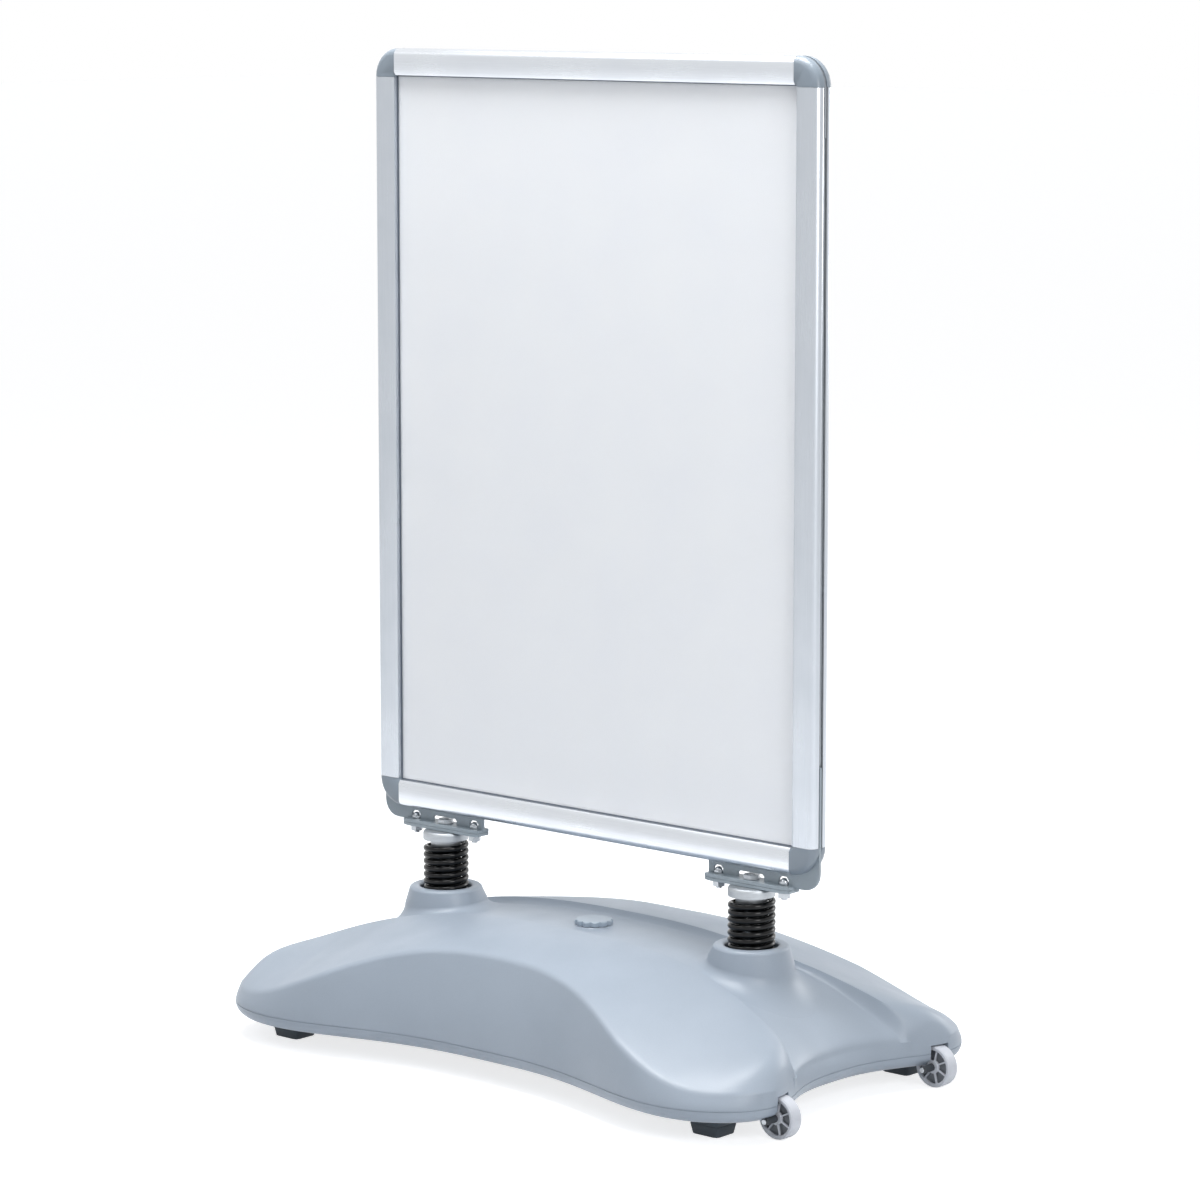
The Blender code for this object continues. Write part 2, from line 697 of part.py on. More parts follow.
def wheel_mesh():
    """A moulded wheel turned about Z, with a recessed web, a hub and ribs on both sides."""
    half = WHEEL_WIDTH / 2
    rim = WHEEL_RADIUS - WHEEL_RIM
    web = WHEEL_WEB / 2
    edge = WHEEL_RIM / 3
    bore = BORE_RADIUS
    profile = [(bore, half), (WHEEL_HUB_RADIUS, half), (WHEEL_HUB_RADIUS, web), (rim, web), (rim, half)]
    profile += arc(WHEEL_RADIUS - edge, half - edge, edge, 90, 0, 1)
    profile += arc(WHEEL_RADIUS - edge, edge - half, edge, 0, -90, 1)
    profile += [(rim, -half), (rim, -web), (WHEEL_HUB_RADIUS, -web), (WHEEL_HUB_RADIUS, -half)]
    profile += [(bore, -half), (bore, half)]
    ribs = []
    inside = WHEEL_HUB_RADIUS - OVERLAP
    outside = rim + OVERLAP
    thickness = WHEEL_RIB_THICKNESS / 2
    height = half - edge
    for index in range(WHEEL_RIBS):
        turn = Matrix.Rotation(2 * math.pi * (index + 0.5) / WHEEL_RIBS, 4, "Z")
        rib = box_mesh((inside, -thickness, -height), (outside, thickness, height))
        ribs.append((rib, "UNION", turn))
    mesh = joined(turned(profile, 28), ribs)
    shade(mesh)
    return mesh


def axle_mesh():
    """An axle pin along Z with a riveted head at each end."""
    head = SLEEVE_END + TOUCH_GAP
    tip = head + AXLE_HEAD_THICKNESS
    lip = AXLE_HEAD_THICKNESS / 3
    profile = [(0, tip), (AXLE_HEAD_RADIUS - lip, tip), (AXLE_HEAD_RADIUS, tip - lip)]
    profile += [(AXLE_HEAD_RADIUS, head), (AXLE_RADIUS, head), (AXLE_RADIUS, -head)]
    profile += [(AXLE_HEAD_RADIUS, -head), (AXLE_HEAD_RADIUS, lip - tip)]
    profile += [(AXLE_HEAD_RADIUS - lip, -tip), (0, -tip)]
    mesh = turned(profile, 14)
    shade(mesh)
    return mesh


def sleeve_mesh():
    """A sleeve on the axle beside the wheel, which lies in the tank's channel."""
    ring = [(BORE_RADIUS, SLEEVE_END), (SLEEVE_RADIUS, SLEEVE_END), (SLEEVE_RADIUS, SLEEVE_START),
            (BORE_RADIUS, SLEEVE_START), (BORE_RADIUS, SLEEVE_END)]
    mesh = turned(ring, 14)
    shade(mesh)
    return mesh


def build_wheels(wheel_material, axle_material, sleeve_material):
    """Two wheels in the notches at the +X end, each on its axle between two sleeves."""
    wheel = wheel_mesh()
    axle = axle_mesh()
    sleeve = sleeve_mesh()
    for name, side in (("front", -1), ("rear", 1)):
        place = along_y(WHEEL_X, side * WHEEL_Y, AXLE_Z)
        add_part("wheel_" + name, wheel, wheel_material, place)
        add_part("axle_" + name, axle, axle_material, place)
        for word, turn in (("outer", side), ("inner", -side)):
            facing = place @ Matrix.Rotation(math.pi * (turn < 0), 4, "X")
            add_part("axle_sleeve_%s_%s" % (name, word), sleeve, sleeve_material, facing)


# Springs, seats and filler cap


def seat_mesh():
    """A round seat at the bottom of a well with a spigot inside the spring."""
    radius = WELL_RADIUS - TOUCH_GAP
    spigot = SPRING_BORE - RUNNING_GAP
    top = SEAT_TOP_Z + SPIGOT_HEIGHT
    bottom = WELL_FLOOR_Z + TOUCH_GAP
    profile = [(0, top), (spigot - TURNED_CHAMFER, top), (spigot, top - TURNED_CHAMFER)]
    profile += [(spigot, SEAT_TOP_Z)]
    profile += [(radius, SEAT_TOP_Z), (radius, bottom), (0, bottom)]
    mesh = turned(profile, 20)
    shade(mesh)
    return mesh


def helix_points():
    """Centre line of a spring, from the seat to the cap."""
    count = round(SPRING_CURLS * POINTS_PER_CURL)
    start = SPRING_BOTTOM_Z + SPRING_WIRE / 2
    rise = SPRING_HEIGHT - SPRING_WIRE
    points = []
    for index in range(count + 1):
        angle = 2 * math.pi * SPRING_CURLS * index / count
        points.append(Vector((SPRING_RADIUS * math.cos(angle), SPRING_RADIUS * math.sin(angle),
                              start + rise * index / count)))
    return points


def spring_mesh():
    """A round-wire spring as one tube along its helix."""
    points = helix_points()
    curve = bpy.data.curves.new("spring", "CURVE")
    curve.dimensions = "3D"
    curve.bevel_depth = SPRING_WIRE / 2
    curve.bevel_resolution = 1
    curve.use_fill_caps = True
    spline = curve.splines.new("POLY")
    spline.points.add(len(points) - 1)
    for point, place in zip(spline.points, points):
        point.co = (*place, 1)
    obj = bpy.data.objects.new("spring", curve)
    CUTTERS.objects.link(obj)
    mesh = evaluated_mesh(obj)
    bpy.data.curves.remove(curve)
    shade(mesh, 70)
    near = POINTS_PER_CURL // 2
    least = min((a - b).length for i, a in enumerate(points) for b in points[i + near:])
    print("spring: least gap of the tube to itself %.2f mm" % ((least - SPRING_WIRE) * 1000))
    return mesh


def build_springs(seat_material, spring_material):
    """Spring seats and springs in the two collars."""
    seat = seat_mesh()
    spring = spring_mesh()
    for name, side in (("left", -1), ("right", 1)):
        place = Matrix.Translation((side * SPRING_X, 0, 0))
        add_part("spring_seat_" + name, seat, seat_material, place)
        add_part("spring_" + name, spring, spring_material, place)


def build_filler(cap_material, seal_material):
    """The scalloped filler cap and the seal ring under it."""
    seat_z = neck_top_z() - SEAL_THICKNESS + TOUCH_GAP
    seal_top = seat_z + SEAL_THICKNESS
    plug = NECK_RADIUS - 2 * TOUCH_GAP
    outside = NECK_RADIUS + SEAL_WIDTH - TOUCH_GAP
    inside = plug + TOUCH_GAP
    ring = [(inside, seal_top), (outside, seal_top), (outside, seat_z), (inside, seat_z), (inside, seal_top)]
    seal = turned(ring, 24)
    shade(seal)
    add_part("cap_seal", seal, seal_material)

    bottom = seal_top + TOUCH_GAP
    steps = CAP_SCALLOPS * 4
    outline = []
    for index in range(steps):
        angle = 2 * math.pi * index / steps
        scoop = (0.5 + 0.5 * math.cos(CAP_SCALLOPS * angle)) ** 2
        radius = CAP_RADIUS - CAP_SCALLOP_DEPTH * scoop
        outline.append((radius * math.cos(angle), radius * math.sin(angle)))
    head = extruded([outline], bottom, bottom + CAP_THICKNESS)
    edge_trim = CAP_THICKNESS / 8
    high = bottom + CAP_THICKNESS
    dome = turned([(0, high), (CAP_RADIUS - 3 * edge_trim, high), (CAP_RADIUS - edge_trim, high - edge_trim),
                   (CAP_RADIUS + edge_trim, high - 3 * edge_trim),
                   (CAP_RADIUS + edge_trim, bottom - OVERLAP), (0, bottom - OVERLAP)], 24)
    plug_bottom = bottom - CAP_PLUG_LENGTH
    plug_solid = turned([(0, bottom + OVERLAP), (plug, bottom + OVERLAP), (plug, plug_bottom),
                         (plug - CAP_WALL, plug_bottom), (plug - CAP_WALL, bottom - CAP_WALL / 2),
                         (0, bottom - CAP_WALL / 2)], 20)
    cap = joined(head, [(dome, "INTERSECT", None), (plug_solid, "UNION", None)])
    shade(cap, 30)
    add_part("filler_cap", cap, cap_material)


# Spring caps, clamp plates, brackets and bolts


def spring_cap_mesh():
    """A turned cap in the top of a spring, with a stud through the plates and a nut on it."""
    top = SPRING_CAP_Z + SPRING_CAP_THICKNESS
    stud_top = FLANGE_TOP_Z + TOUCH_GAP + STUD_NUT_THICKNESS + STUD_TAIL
    plug = SPRING_BORE - RUNNING_GAP
    low = SPRING_CAP_Z - SPRING_CAP_PLUG
    rounding = SPRING_CAP_ROUNDING
    profile = [(0, stud_top), (STUD_RADIUS, stud_top), (STUD_RADIUS, top)]
    profile += arc(SPRING_CAP_RADIUS - rounding, top - rounding, rounding, 90, 0, 2)
    profile += [(SPRING_CAP_RADIUS, SPRING_CAP_Z), (plug, SPRING_CAP_Z)]
    profile += [(plug, low + TURNED_CHAMFER), (plug - TURNED_CHAMFER, low), (0, low)]
    nut_low = FLANGE_TOP_Z + TOUCH_GAP
    nut = extruded([hexagon(STUD_NUT_WIDTH)], nut_low, nut_low + STUD_NUT_THICKNESS)
    mesh = joined(turned(profile, 24), [(nut, "UNION", None)])
    shade(mesh)
    return mesh


def plate_outline():
    """Outline of the clamp plate and the bracket's flange: a long plate with chamfered corners."""
    half_x = CLAMP_LENGTH / 2
    half_y = CLAMP_WIDTH / 2
    points = []
    for sign_x, sign_y in ((1, 1), (-1, 1), (-1, -1), (1, -1)):
        end = (sign_x * half_x, sign_y * (half_y - CLAMP_CHAMFER_Y))
        side = (sign_x * (half_x - CLAMP_CHAMFER_X), sign_y * half_y)
        points += [end, side] if sign_x == sign_y else [side, end]
    return points


def bolt_holes():
    """Round holes for the two bolts."""
    return [circle(side * BOLT_X, 0, BOLT_RADIUS + TOUCH_GAP, 12) for side in (-1, 1)]


def slot_outline():
    """Slot for the stud, long in X."""
    radius = STUD_RADIUS + TOUCH_GAP
    offset = SLOT_LENGTH / 2 - radius
    return arc(offset, 0, radius, -90, 90, 8) + arc(-offset, 0, radius, 90, 270, 8)


def web_outline():
    """Outline in X and Z of the right bracket's upright web."""
    outer = FRAME_WIDTH / 2 - WEB_EDGE_INSET
    bottom = FLANGE_Z + CLAMP_THICKNESS / 2
    radius = WEB_CORNER_RADIUS
    points = [(WEB_INNER_X, FLANGE_TOP_Z + WEB_INNER_HEIGHT), (WEB_INNER_X, bottom)]
    notches = ((-BOLT_X, DOME_NOTCH_WIDTH, DOME_NOTCH_HEIGHT), (0, WEB_NOTCH_WIDTH, WEB_NOTCH_HEIGHT),
               (BOLT_X, DOME_NOTCH_WIDTH, DOME_NOTCH_HEIGHT))
    for offset, width, height in notches:
        start = SPRING_X + offset - width / 2
        end = SPRING_X + offset + width / 2
        corner = height / 3
        top = FLANGE_TOP_Z + height
        points += [(start, bottom), (start, top - corner), (start + corner, top)]
        points += [(end - corner, top), (end, top - corner), (end, bottom)]
    points += arc(outer - radius, bottom + radius, radius, 270, 360, 5)
    points += [(outer, FLANGE_TOP_Z + WEB_OUTER_HEIGHT)]
    points += [(outer - radius, FLANGE_TOP_Z + WEB_OUTER_HEIGHT)]
    return points


def upright(x=0):
    """Placing that stands an outline drawn in X and Y up in X and Z."""
    return Matrix.Translation((x, 0, 0)) @ Matrix.Rotation(math.pi / 2, 4, "X")


def bracket_mesh():
    """Flange and web of the right bracket as one welded piece, centred on its spring."""
    flange = extruded([plate_outline(), slot_outline()] + bolt_holes(), FLANGE_Z, FLANGE_TOP_Z)
    web = extruded([web_outline()], -BRACKET_THICKNESS / 2, BRACKET_THICKNESS / 2)
    mesh = joined(flange, [(web, "UNION", upright(-SPRING_X))])
    shade(mesh)
    return mesh


def mirrored_copy(mesh):
    """The other hand of a mesh, across its own X."""
    other = mesh.copy()
    other.transform(Matrix.Diagonal((-1, 1, 1, 1)))
    other.flip_normals()
    return other


def clamp_plate_mesh():
    """The plate under the bracket's flange."""
    stud_hole = circle(0, 0, STUD_RADIUS + TOUCH_GAP, 16)
    mesh = extruded([plate_outline(), stud_hole] + bolt_holes(), CLAMP_Z, CLAMP_Z + CLAMP_THICKNESS)
    shade(mesh)
    return mesh


def bolt_mesh():
    """A bolt with its domed hexagon head above the plates and a nut below them."""
    nut_top = CLAMP_Z - TOUCH_GAP
    head_low = FLANGE_TOP_Z + TOUCH_GAP
    dome_low = head_low + DOME_HEAD_HEX
    dome_radius = 0.48 * DOME_HEAD_WIDTH
    end = nut_top - BOLT_NUT_THICKNESS - BOLT_TAIL
    profile = arc(0, dome_low, dome_radius, 90, 0, 3, DOME_HEAD_HEIGHT - DOME_HEAD_HEX)
    profile[0] = (0, profile[0][1])
    profile += [(dome_radius, dome_low - DOME_HEAD_HEX / 2), (BOLT_RADIUS, dome_low - DOME_HEAD_HEX / 2)]
    profile += [(BOLT_RADIUS, end), (0, end)]
    head = extruded([hexagon(DOME_HEAD_WIDTH)], head_low, dome_low)
    nut = extruded([hexagon(BOLT_NUT_WIDTH)], nut_top - BOLT_NUT_THICKNESS, nut_top)
    mesh = joined(turned(profile, 12), [(head, "UNION", None), (nut, "UNION", None)])
    shade(mesh)
    return mesh


def build_clamps(cap_material, plate_material, bolt_material):
    """Everything between the springs and the poster frames."""
    spring_cap = spring_cap_mesh()
    plate = clamp_plate_mesh()
    bolt = bolt_mesh()
    bracket = {"right": bracket_mesh()}
    bracket["left"] = mirrored_copy(bracket["right"])
    pieces = []
    for name, side in (("left", -1), ("right", 1)):
        place = Matrix.Translation((side * SPRING_X, 0, 0))
        pieces.append(add_part("spring_cap_" + name, spring_cap, cap_material, place))
        pieces.append(add_part("clamp_plate_" + name, plate, plate_material, place))
        pieces.append(add_part("bracket_" + name, bracket[name], plate_material, place))
        for word, offset in (("inner", -side * BOLT_X), ("outer", side * BOLT_X)):
            bolt_place = Matrix.Translation((side * SPRING_X + offset, 0, 0))
            pieces.append(add_part("clamp_bolt_%s_%s" % (name, word), bolt, bolt_material, bolt_place))
    return pieces


# Poster frames: s is measured inwards from the outer edge, d forwards from the frame's back


def rail_section():
    """Section of a snap rail in s and d, with the hinge line at (HINGE_INSET, HINGE_INSET)."""
    hinge = HINGE_INSET
    hook = BEAD_RADIUS + TOUCH_GAP
    centre_d = FRAME_DEPTH - RAIL_ROUNDING
    inner = RAIL_ROUNDING - RAIL_WALL
    lip_d = PROFILE_PLATE + PANEL_THICKNESS + COVER_THICKNESS + 3 * TOUCH_GAP
    bevel_s = RAIL_WIDTH - RAIL_BEVEL_WIDTH
    bevel_d = FRAME_DEPTH - RAIL_BEVEL_DROP
    section = arc(hinge, hinge, BARREL_RADIUS, 0, 121, 4)
    section += arc(RAIL_ROUNDING, centre_d, inner, 173, 90, 3)
    section += [(bevel_s - RAIL_WALL / 4, FRAME_DEPTH - RAIL_WALL)]
    section += [(RAIL_WIDTH - RAIL_WALL, bevel_d - RAIL_WALL / 2)]
    section += [(RAIL_WIDTH - RAIL_WALL, lip_d), (RAIL_WIDTH, lip_d), (RAIL_WIDTH, bevel_d)]
    section += [(bevel_s, FRAME_DEPTH)]
    section += arc(RAIL_ROUNDING, centre_d, RAIL_ROUNDING, 90, 180, 6)
    section += arc(hinge, hinge, hinge, 180, 210, 1)
    section += arc(hinge, hinge, hook, 210, 0, 7)
    return section


def profile_section():
    """Section of a fixed frame profile: hinge bead, back plate and the stop for the panel's edge."""
    hinge = HINGE_INSET
    web = PROFILE_WEB / 2
    half = math.degrees(math.asin(web / BEAD_RADIUS))
    slant = math.radians(-30)
    along = Vector((math.cos(slant), math.sin(slant)))
    across = Vector((-along.y, along.x)) * web
    landing = Vector((hinge, hinge)) + along * ((PROFILE_PLATE_START - hinge) / along.x)
    stop = PANEL_INSET - TOUCH_GAP
    section = arc(hinge, hinge, BEAD_RADIUS, -30 + half, 330 - half, 9)
    section += [tuple(landing - across - Vector((web, 0))), (PROFILE_PLATE_START, 0), (RAIL_WIDTH, 0)]
    section += [(RAIL_WIDTH, PROFILE_PLATE), (stop, PROFILE_PLATE), (stop, UPSTAND_HEIGHT)]
    section += [(stop - UPSTAND_THICKNESS, UPSTAND_HEIGHT), (stop - UPSTAND_THICKNESS, PROFILE_PLATE)]
    section += [(PROFILE_PLATE_START + PROFILE_WEB, PROFILE_PLATE)]
    section += [tuple(landing + across + Vector((web, web)) / 2)]
    return section


def corner_section():
    """Section of a corner piece: the rail's outer shape, filled, with room for the panel's corner."""
    centre_d = FRAME_DEPTH - RAIL_ROUNDING
    lip_d = PROFILE_PLATE + PANEL_THICKNESS + COVER_THICKNESS + 3 * TOUCH_GAP
    rebate = CORNER_SIZE - math.sqrt(2) * (CORNER_SIZE - PANEL_INSET) - 2 * TOUCH_GAP
    section = [(0, 0)] + arc(RAIL_ROUNDING, centre_d, RAIL_ROUNDING, 180, 90, 5)
    section += [(RAIL_WIDTH - RAIL_BEVEL_WIDTH, FRAME_DEPTH), (RAIL_WIDTH, FRAME_DEPTH - RAIL_BEVEL_DROP)]
    section += [(RAIL_WIDTH, lip_d), (rebate, lip_d), (rebate, 0)]
    return section


def corner_mesh():
    """A corner piece turned through a quarter, with a tongue into the profile on each side."""
    work = bmesh.new()
    face = work.faces.new([work.verts.new((CORNER_SIZE - s, 0, d)) for s, d in corner_section()])
    bmesh.ops.spin(work, geom=[face] + list(face.edges) + list(face.verts), cent=(0, 0, 0),
                   axis=(0, 0, 1), angle=math.pi / 2, steps=CORNER_STEPS, use_duplicate=False)
    bmesh.ops.recalc_face_normals(work, faces=work.faces)
    quarter = bpy.data.meshes.new("corner")
    work.to_mesh(quarter)
    work.free()
    low_d = PROFILE_PLATE + TOUCH_GAP
    high_d = FRAME_DEPTH - RAIL_WALL - TOUCH_GAP
    stop = PANEL_INSET - UPSTAND_THICKNESS - 2 * TOUCH_GAP
    high_s = CORNER_SIZE - TONGUE_START - RAIL_WALL
    low_s = CORNER_SIZE - stop
    first = box_mesh((low_s, -TONGUE_LENGTH, low_d), (high_s, 2 * OVERLAP, high_d - RAIL_WALL))
    second = box_mesh((-TONGUE_LENGTH, low_s, low_d), (2 * OVERLAP, high_s, high_d - RAIL_WALL))
    mesh = joined(quarter, [(first, "UNION", None), (second, "UNION", None)])
    shade(mesh)
    return mesh


def side_matrix(face, side):
    """Placing of a section drawn in s and d and extruded along its third axis, on one side of a face."""
    forwards = Vector((0, face, 0))
    inwards = {"top": Vector((0, 0, -1)), "bottom": Vector((0, 0, 1)),
               "left": Vector((1, 0, 0)), "right": Vector((-1, 0, 0))}[side]
    along = inwards.cross(forwards)
    half = Vector((FRAME_WIDTH / 2, 0, FRAME_HEIGHT / 2))
    edge = Vector((0, face * FRAME_SPACING / 2, FRAME_MID_Z))
    edge -= Vector((inwards.x * half.x, 0, inwards.z * half.z))
    matrix = Matrix((inwards, forwards, along)).transposed().to_4x4()
    return Matrix.Translation(edge) @ matrix


def corner_matrix(face, top, left):
    """Placing of a corner piece whose quarter lies in +X and +Y and whose front looks along +Z."""
    out_x = Vector((-1 if left else 1, 0, 0))
    out_z = Vector((0, 0, 1 if top else -1))
    forwards = Vector((0, face, 0))
    first, second = out_x, out_z
    if first.cross(second).dot(forwards) < 0:
        first, second = second, first
    place = Vector((out_x.x * (FRAME_WIDTH / 2 - CORNER_SIZE), face * FRAME_SPACING / 2,
                    FRAME_MID_Z + out_z.z * (FRAME_HEIGHT / 2 - CORNER_SIZE)))
    return Matrix.Translation(place) @ Matrix((first, second, forwards)).transposed().to_4x4()


def build_frame(face, name, materials):
    """One poster frame; face is -1 for the front and 1 for the rear. Returns its fixed pieces and rails."""
    fixed = []
    rails = []
    hinge = Vector((HINGE_INSET, HINGE_INSET, 0))
    lengths = {"top": FRAME_WIDTH, "bottom": FRAME_WIDTH, "left": FRAME_HEIGHT, "right": FRAME_HEIGHT}
    for side, outer in lengths.items():
        half = outer / 2 - CORNER_SIZE - TOUCH_GAP
        place = side_matrix(face, side)
        profile = extruded([profile_section()], -half, half)
        shade(profile)
        fixed.append(add_part("profile_%s_%s" % (name, side), profile, materials["profile"], place))
        rail = extruded([rail_section()], -half, half)
        rail.transform(Matrix.Translation(-hinge))
        shade(rail)
        rail_place = place @ Matrix.Translation(hinge)
        rails.append(add_part("snap_rail_%s_%s" % (name, side), rail, materials["rail"], rail_place))
    corner = corner_mesh()
    for top in (True, False):
        for left in (True, False):
            words = ("top" if top else "bottom") + "_" + ("left" if left else "right")
            corner_name = "corner_%s_%s" % (name, words)
            fixed.append(add_part(corner_name, corner, materials["corner"], corner_matrix(face, top, left)))
    sheets = (("back_panel_", PROFILE_PLATE + TOUCH_GAP, PANEL_THICKNESS, "panel"),
              ("cover_sheet_", PROFILE_PLATE + PANEL_THICKNESS + 2 * TOUCH_GAP, COVER_THICKNESS, "cover"))
    for prefix, depth, thickness, material in sheets:
        near = face * (FRAME_SPACING / 2 + depth)
        far = face * (FRAME_SPACING / 2 + depth + thickness)
        low = (-PANEL_WIDTH / 2, min(near, far), FRAME_MID_Z - PANEL_HEIGHT / 2)
        high = (PANEL_WIDTH / 2, max(near, far), FRAME_MID_Z + PANEL_HEIGHT / 2)
        fixed.append(add_part(prefix + name, box_mesh(low, high), materials[material]))
    return fixed, rails


def build_top_plates(material):
    """Small plates between the two frames that hold the top corners together."""
    outer = FRAME_WIDTH / 2 - WEB_EDGE_INSET
    top = FRAME_MID_Z + FRAME_HEIGHT / 2 - WEB_EDGE_INSET
    radius = CORNER_SIZE
    pieces = []
    for name, side in (("left", -1), ("right", 1)):
        outline = arc(outer - radius, top - radius, radius, 0, 90, 6)
        outline += [(outer - TOP_PLATE_WIDTH, top), (outer - TOP_PLATE_WIDTH, top - TOP_PLATE_END)]
        outline += [(outer - TOP_PLATE_END, top - TOP_PLATE_HEIGHT), (outer, top - TOP_PLATE_HEIGHT)]
        mesh = extruded([[(side * x, z) for x, z in outline]], -BRACKET_THICKNESS / 2, BRACKET_THICKNESS / 2)
        shade(mesh)
        pieces.append(add_part("top_plate_" + name, mesh, material, upright()))
    return pieces


def hang_on_pivot(name, place, pieces):
    """An empty on a joint's axis that carries the pieces."""
    pivot = bpy.data.objects.new(name, None)
    pivot.location = place
    SIGN.objects.link(pivot)
    bpy.context.view_layer.update()
    for piece in pieces:
        piece.parent = pivot
        piece.matrix_parent_inverse = pivot.matrix_world.inverted()
    return pivot


def main():
    """Build the whole sign."""
    clear_scene()
    tank = add_material("blue_grey_polyethylene", (0.31, 0.37, 0.44), 0.55)
    foot = add_material("dark_rubber", (0.045, 0.06, 0.075), 0.7)
    wheel = add_material("grey_wheel_plastic", (0.45, 0.47, 0.5), 0.5)
    sleeve = add_material("dark_sleeve_plastic", (0.12, 0.13, 0.15), 0.5)
    zinc = add_material("bright_zinc", (0.72, 0.73, 0.74), 0.25, 1.0)
    spring = add_material("black_enamel", (0.012, 0.012, 0.014), 0.25)
    cap = add_material("turned_aluminium", (0.42, 0.45, 0.48), 0.4, 1.0)
    plate = add_material("grey_painted_steel", (0.2, 0.24, 0.28), 0.45)
    seal = add_material("black_rubber", (0.02, 0.02, 0.02), 0.8)
    frame = {"rail": add_material("silver_anodised_aluminium", (0.66, 0.69, 0.73), 0.3, 1.0),
             "profile": add_material("plain_aluminium", (0.6, 0.62, 0.65), 0.4, 1.0),
             "corner": add_material("grey_corner_plastic", (0.35, 0.4, 0.45), 0.45),
             "panel": add_material("white_backing_sheet", (0.86, 0.88, 0.9), 0.4),
             "cover": add_material("clear_cover_sheet", (0.95, 0.96, 0.97), 0.1, 0.0, 0.25)}

    build_tank(tank)
    build_feet(foot)
    build_wheels(wheel, zinc, sleeve)
    build_springs(plate, spring)
    build_filler(tank, seal)
    panel = build_clamps(cap, plate, zinc)
    for face, name in ((-1, "front"), (1, "rear")):
        fixed, rails = build_frame(face, name, frame)
        panel += fixed + rails
    panel += build_top_plates(frame["profile"])
    hang_on_pivot("sway_pivot", (0, 0, SWAY_Z), panel)

    left_end = TANK_OFFSET_X - TANK_TIP_X
    right_end = WHEEL_X + WHEEL_RADIUS
    middle_x = -(left_end + right_end) / 2
    for obj in bpy.data.objects:
        if obj.parent is None:
            obj.location.x += middle_x
    bpy.context.view_layer.update()


main()
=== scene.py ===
import math

import bmesh
import bpy
from mathutils import Matrix, Vector


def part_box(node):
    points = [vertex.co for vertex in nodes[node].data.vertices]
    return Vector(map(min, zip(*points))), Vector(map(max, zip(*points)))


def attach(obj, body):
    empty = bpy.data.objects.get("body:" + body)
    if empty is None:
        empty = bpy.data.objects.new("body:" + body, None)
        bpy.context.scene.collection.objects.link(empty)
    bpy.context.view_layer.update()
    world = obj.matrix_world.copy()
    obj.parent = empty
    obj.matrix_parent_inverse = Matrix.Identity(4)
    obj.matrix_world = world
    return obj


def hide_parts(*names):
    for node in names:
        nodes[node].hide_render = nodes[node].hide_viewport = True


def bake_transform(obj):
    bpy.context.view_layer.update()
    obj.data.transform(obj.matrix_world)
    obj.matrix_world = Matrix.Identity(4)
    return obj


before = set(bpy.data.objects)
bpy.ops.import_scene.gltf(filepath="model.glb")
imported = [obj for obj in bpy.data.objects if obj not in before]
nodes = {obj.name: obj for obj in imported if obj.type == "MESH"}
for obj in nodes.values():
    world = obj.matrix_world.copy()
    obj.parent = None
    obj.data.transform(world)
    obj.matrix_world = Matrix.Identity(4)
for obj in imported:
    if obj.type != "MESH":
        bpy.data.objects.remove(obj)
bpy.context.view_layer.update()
scene = bpy.context.scene

# The camera of the photograph: degrees round and down, its place in metres, and pixels of a 1200 pixel frame
IMAGE_SIZE = 1200
CAMERA_TURN = 41.0231
CAMERA_TILT = 7.8209
CAMERA_PLACE = Vector((3.1110, -3.5709, 1.2469))
CAMERA_FOCAL = 4224.1
CAMERA_SHIFT = -60
SENSOR_WIDTH = 36
CLIP_END = 60


def add_camera():
    """The camera, at the photograph's place and angle."""
    data = bpy.data.cameras.new("photo_camera")
    camera = bpy.data.objects.new("photo_camera", data)
    scene.collection.objects.link(camera)
    turn = math.radians(CAMERA_TURN)
    tilt = math.radians(CAMERA_TILT)
    ahead = Vector((-math.sin(turn) * math.cos(tilt), math.cos(turn) * math.cos(tilt), -math.sin(tilt)))
    right = Vector((math.cos(turn), math.sin(turn), 0))
    above = right.cross(ahead)
    placing = Matrix((right, above, -ahead)).transposed().to_4x4()
    placing.translation = CAMERA_PLACE
    camera.matrix_world = placing
    data.sensor_width = SENSOR_WIDTH
    data.lens = CAMERA_FOCAL / IMAGE_SIZE * SENSOR_WIDTH
    data.shift_y = CAMERA_SHIFT / IMAGE_SIZE
    data.clip_end = CLIP_END
    scene.camera = camera


add_camera()
scene.view_settings.view_transform = "Standard"

# Materials. Every finish mixes slow clouds with its own grain, and the mix moves both colour and roughness.
# The grains are drawn coarser than the real ones, which are too fine to show
CLOUD_SCALE = 14
CLOUD_DETAIL = 3
GRAIN_DETAIL = 2
GRAIN_SHARE = 0.4
WANDER_LOW = 0.35
WANDER_HIGH = 0.65


def colour(text):
    """Linear colour of an sRGB hex value."""
    values = []
    for index in (0, 2, 4):
        value = int(text[index:index + 2], 16) / 255
        values.append(value / 12.92 if value <= 0.04045 else ((value + 0.055) / 1.055) ** 2.4)
    return (*values, 1)


def add(tree, kind, inputs, **settings):
    """One shader node with its settings, and a value or another node's output on each input.

    Inputs that share a name go by number. Mix has its factor at 0, two numbers at 2 and 3, and two colours
    at 6 and 7. Map Range has its value at 0, the span it reads at 1 and 2, and the span it gives at 3 and 4.
    """
    node = tree.nodes.new(kind)
    for name, value in settings.items():
        setattr(node, name, value)
    for name, value in inputs.items():
        if isinstance(value, bpy.types.NodeSocket):
            tree.links.new(value, node.inputs[name])
        else:
            node.inputs[name].default_value = value
    return node


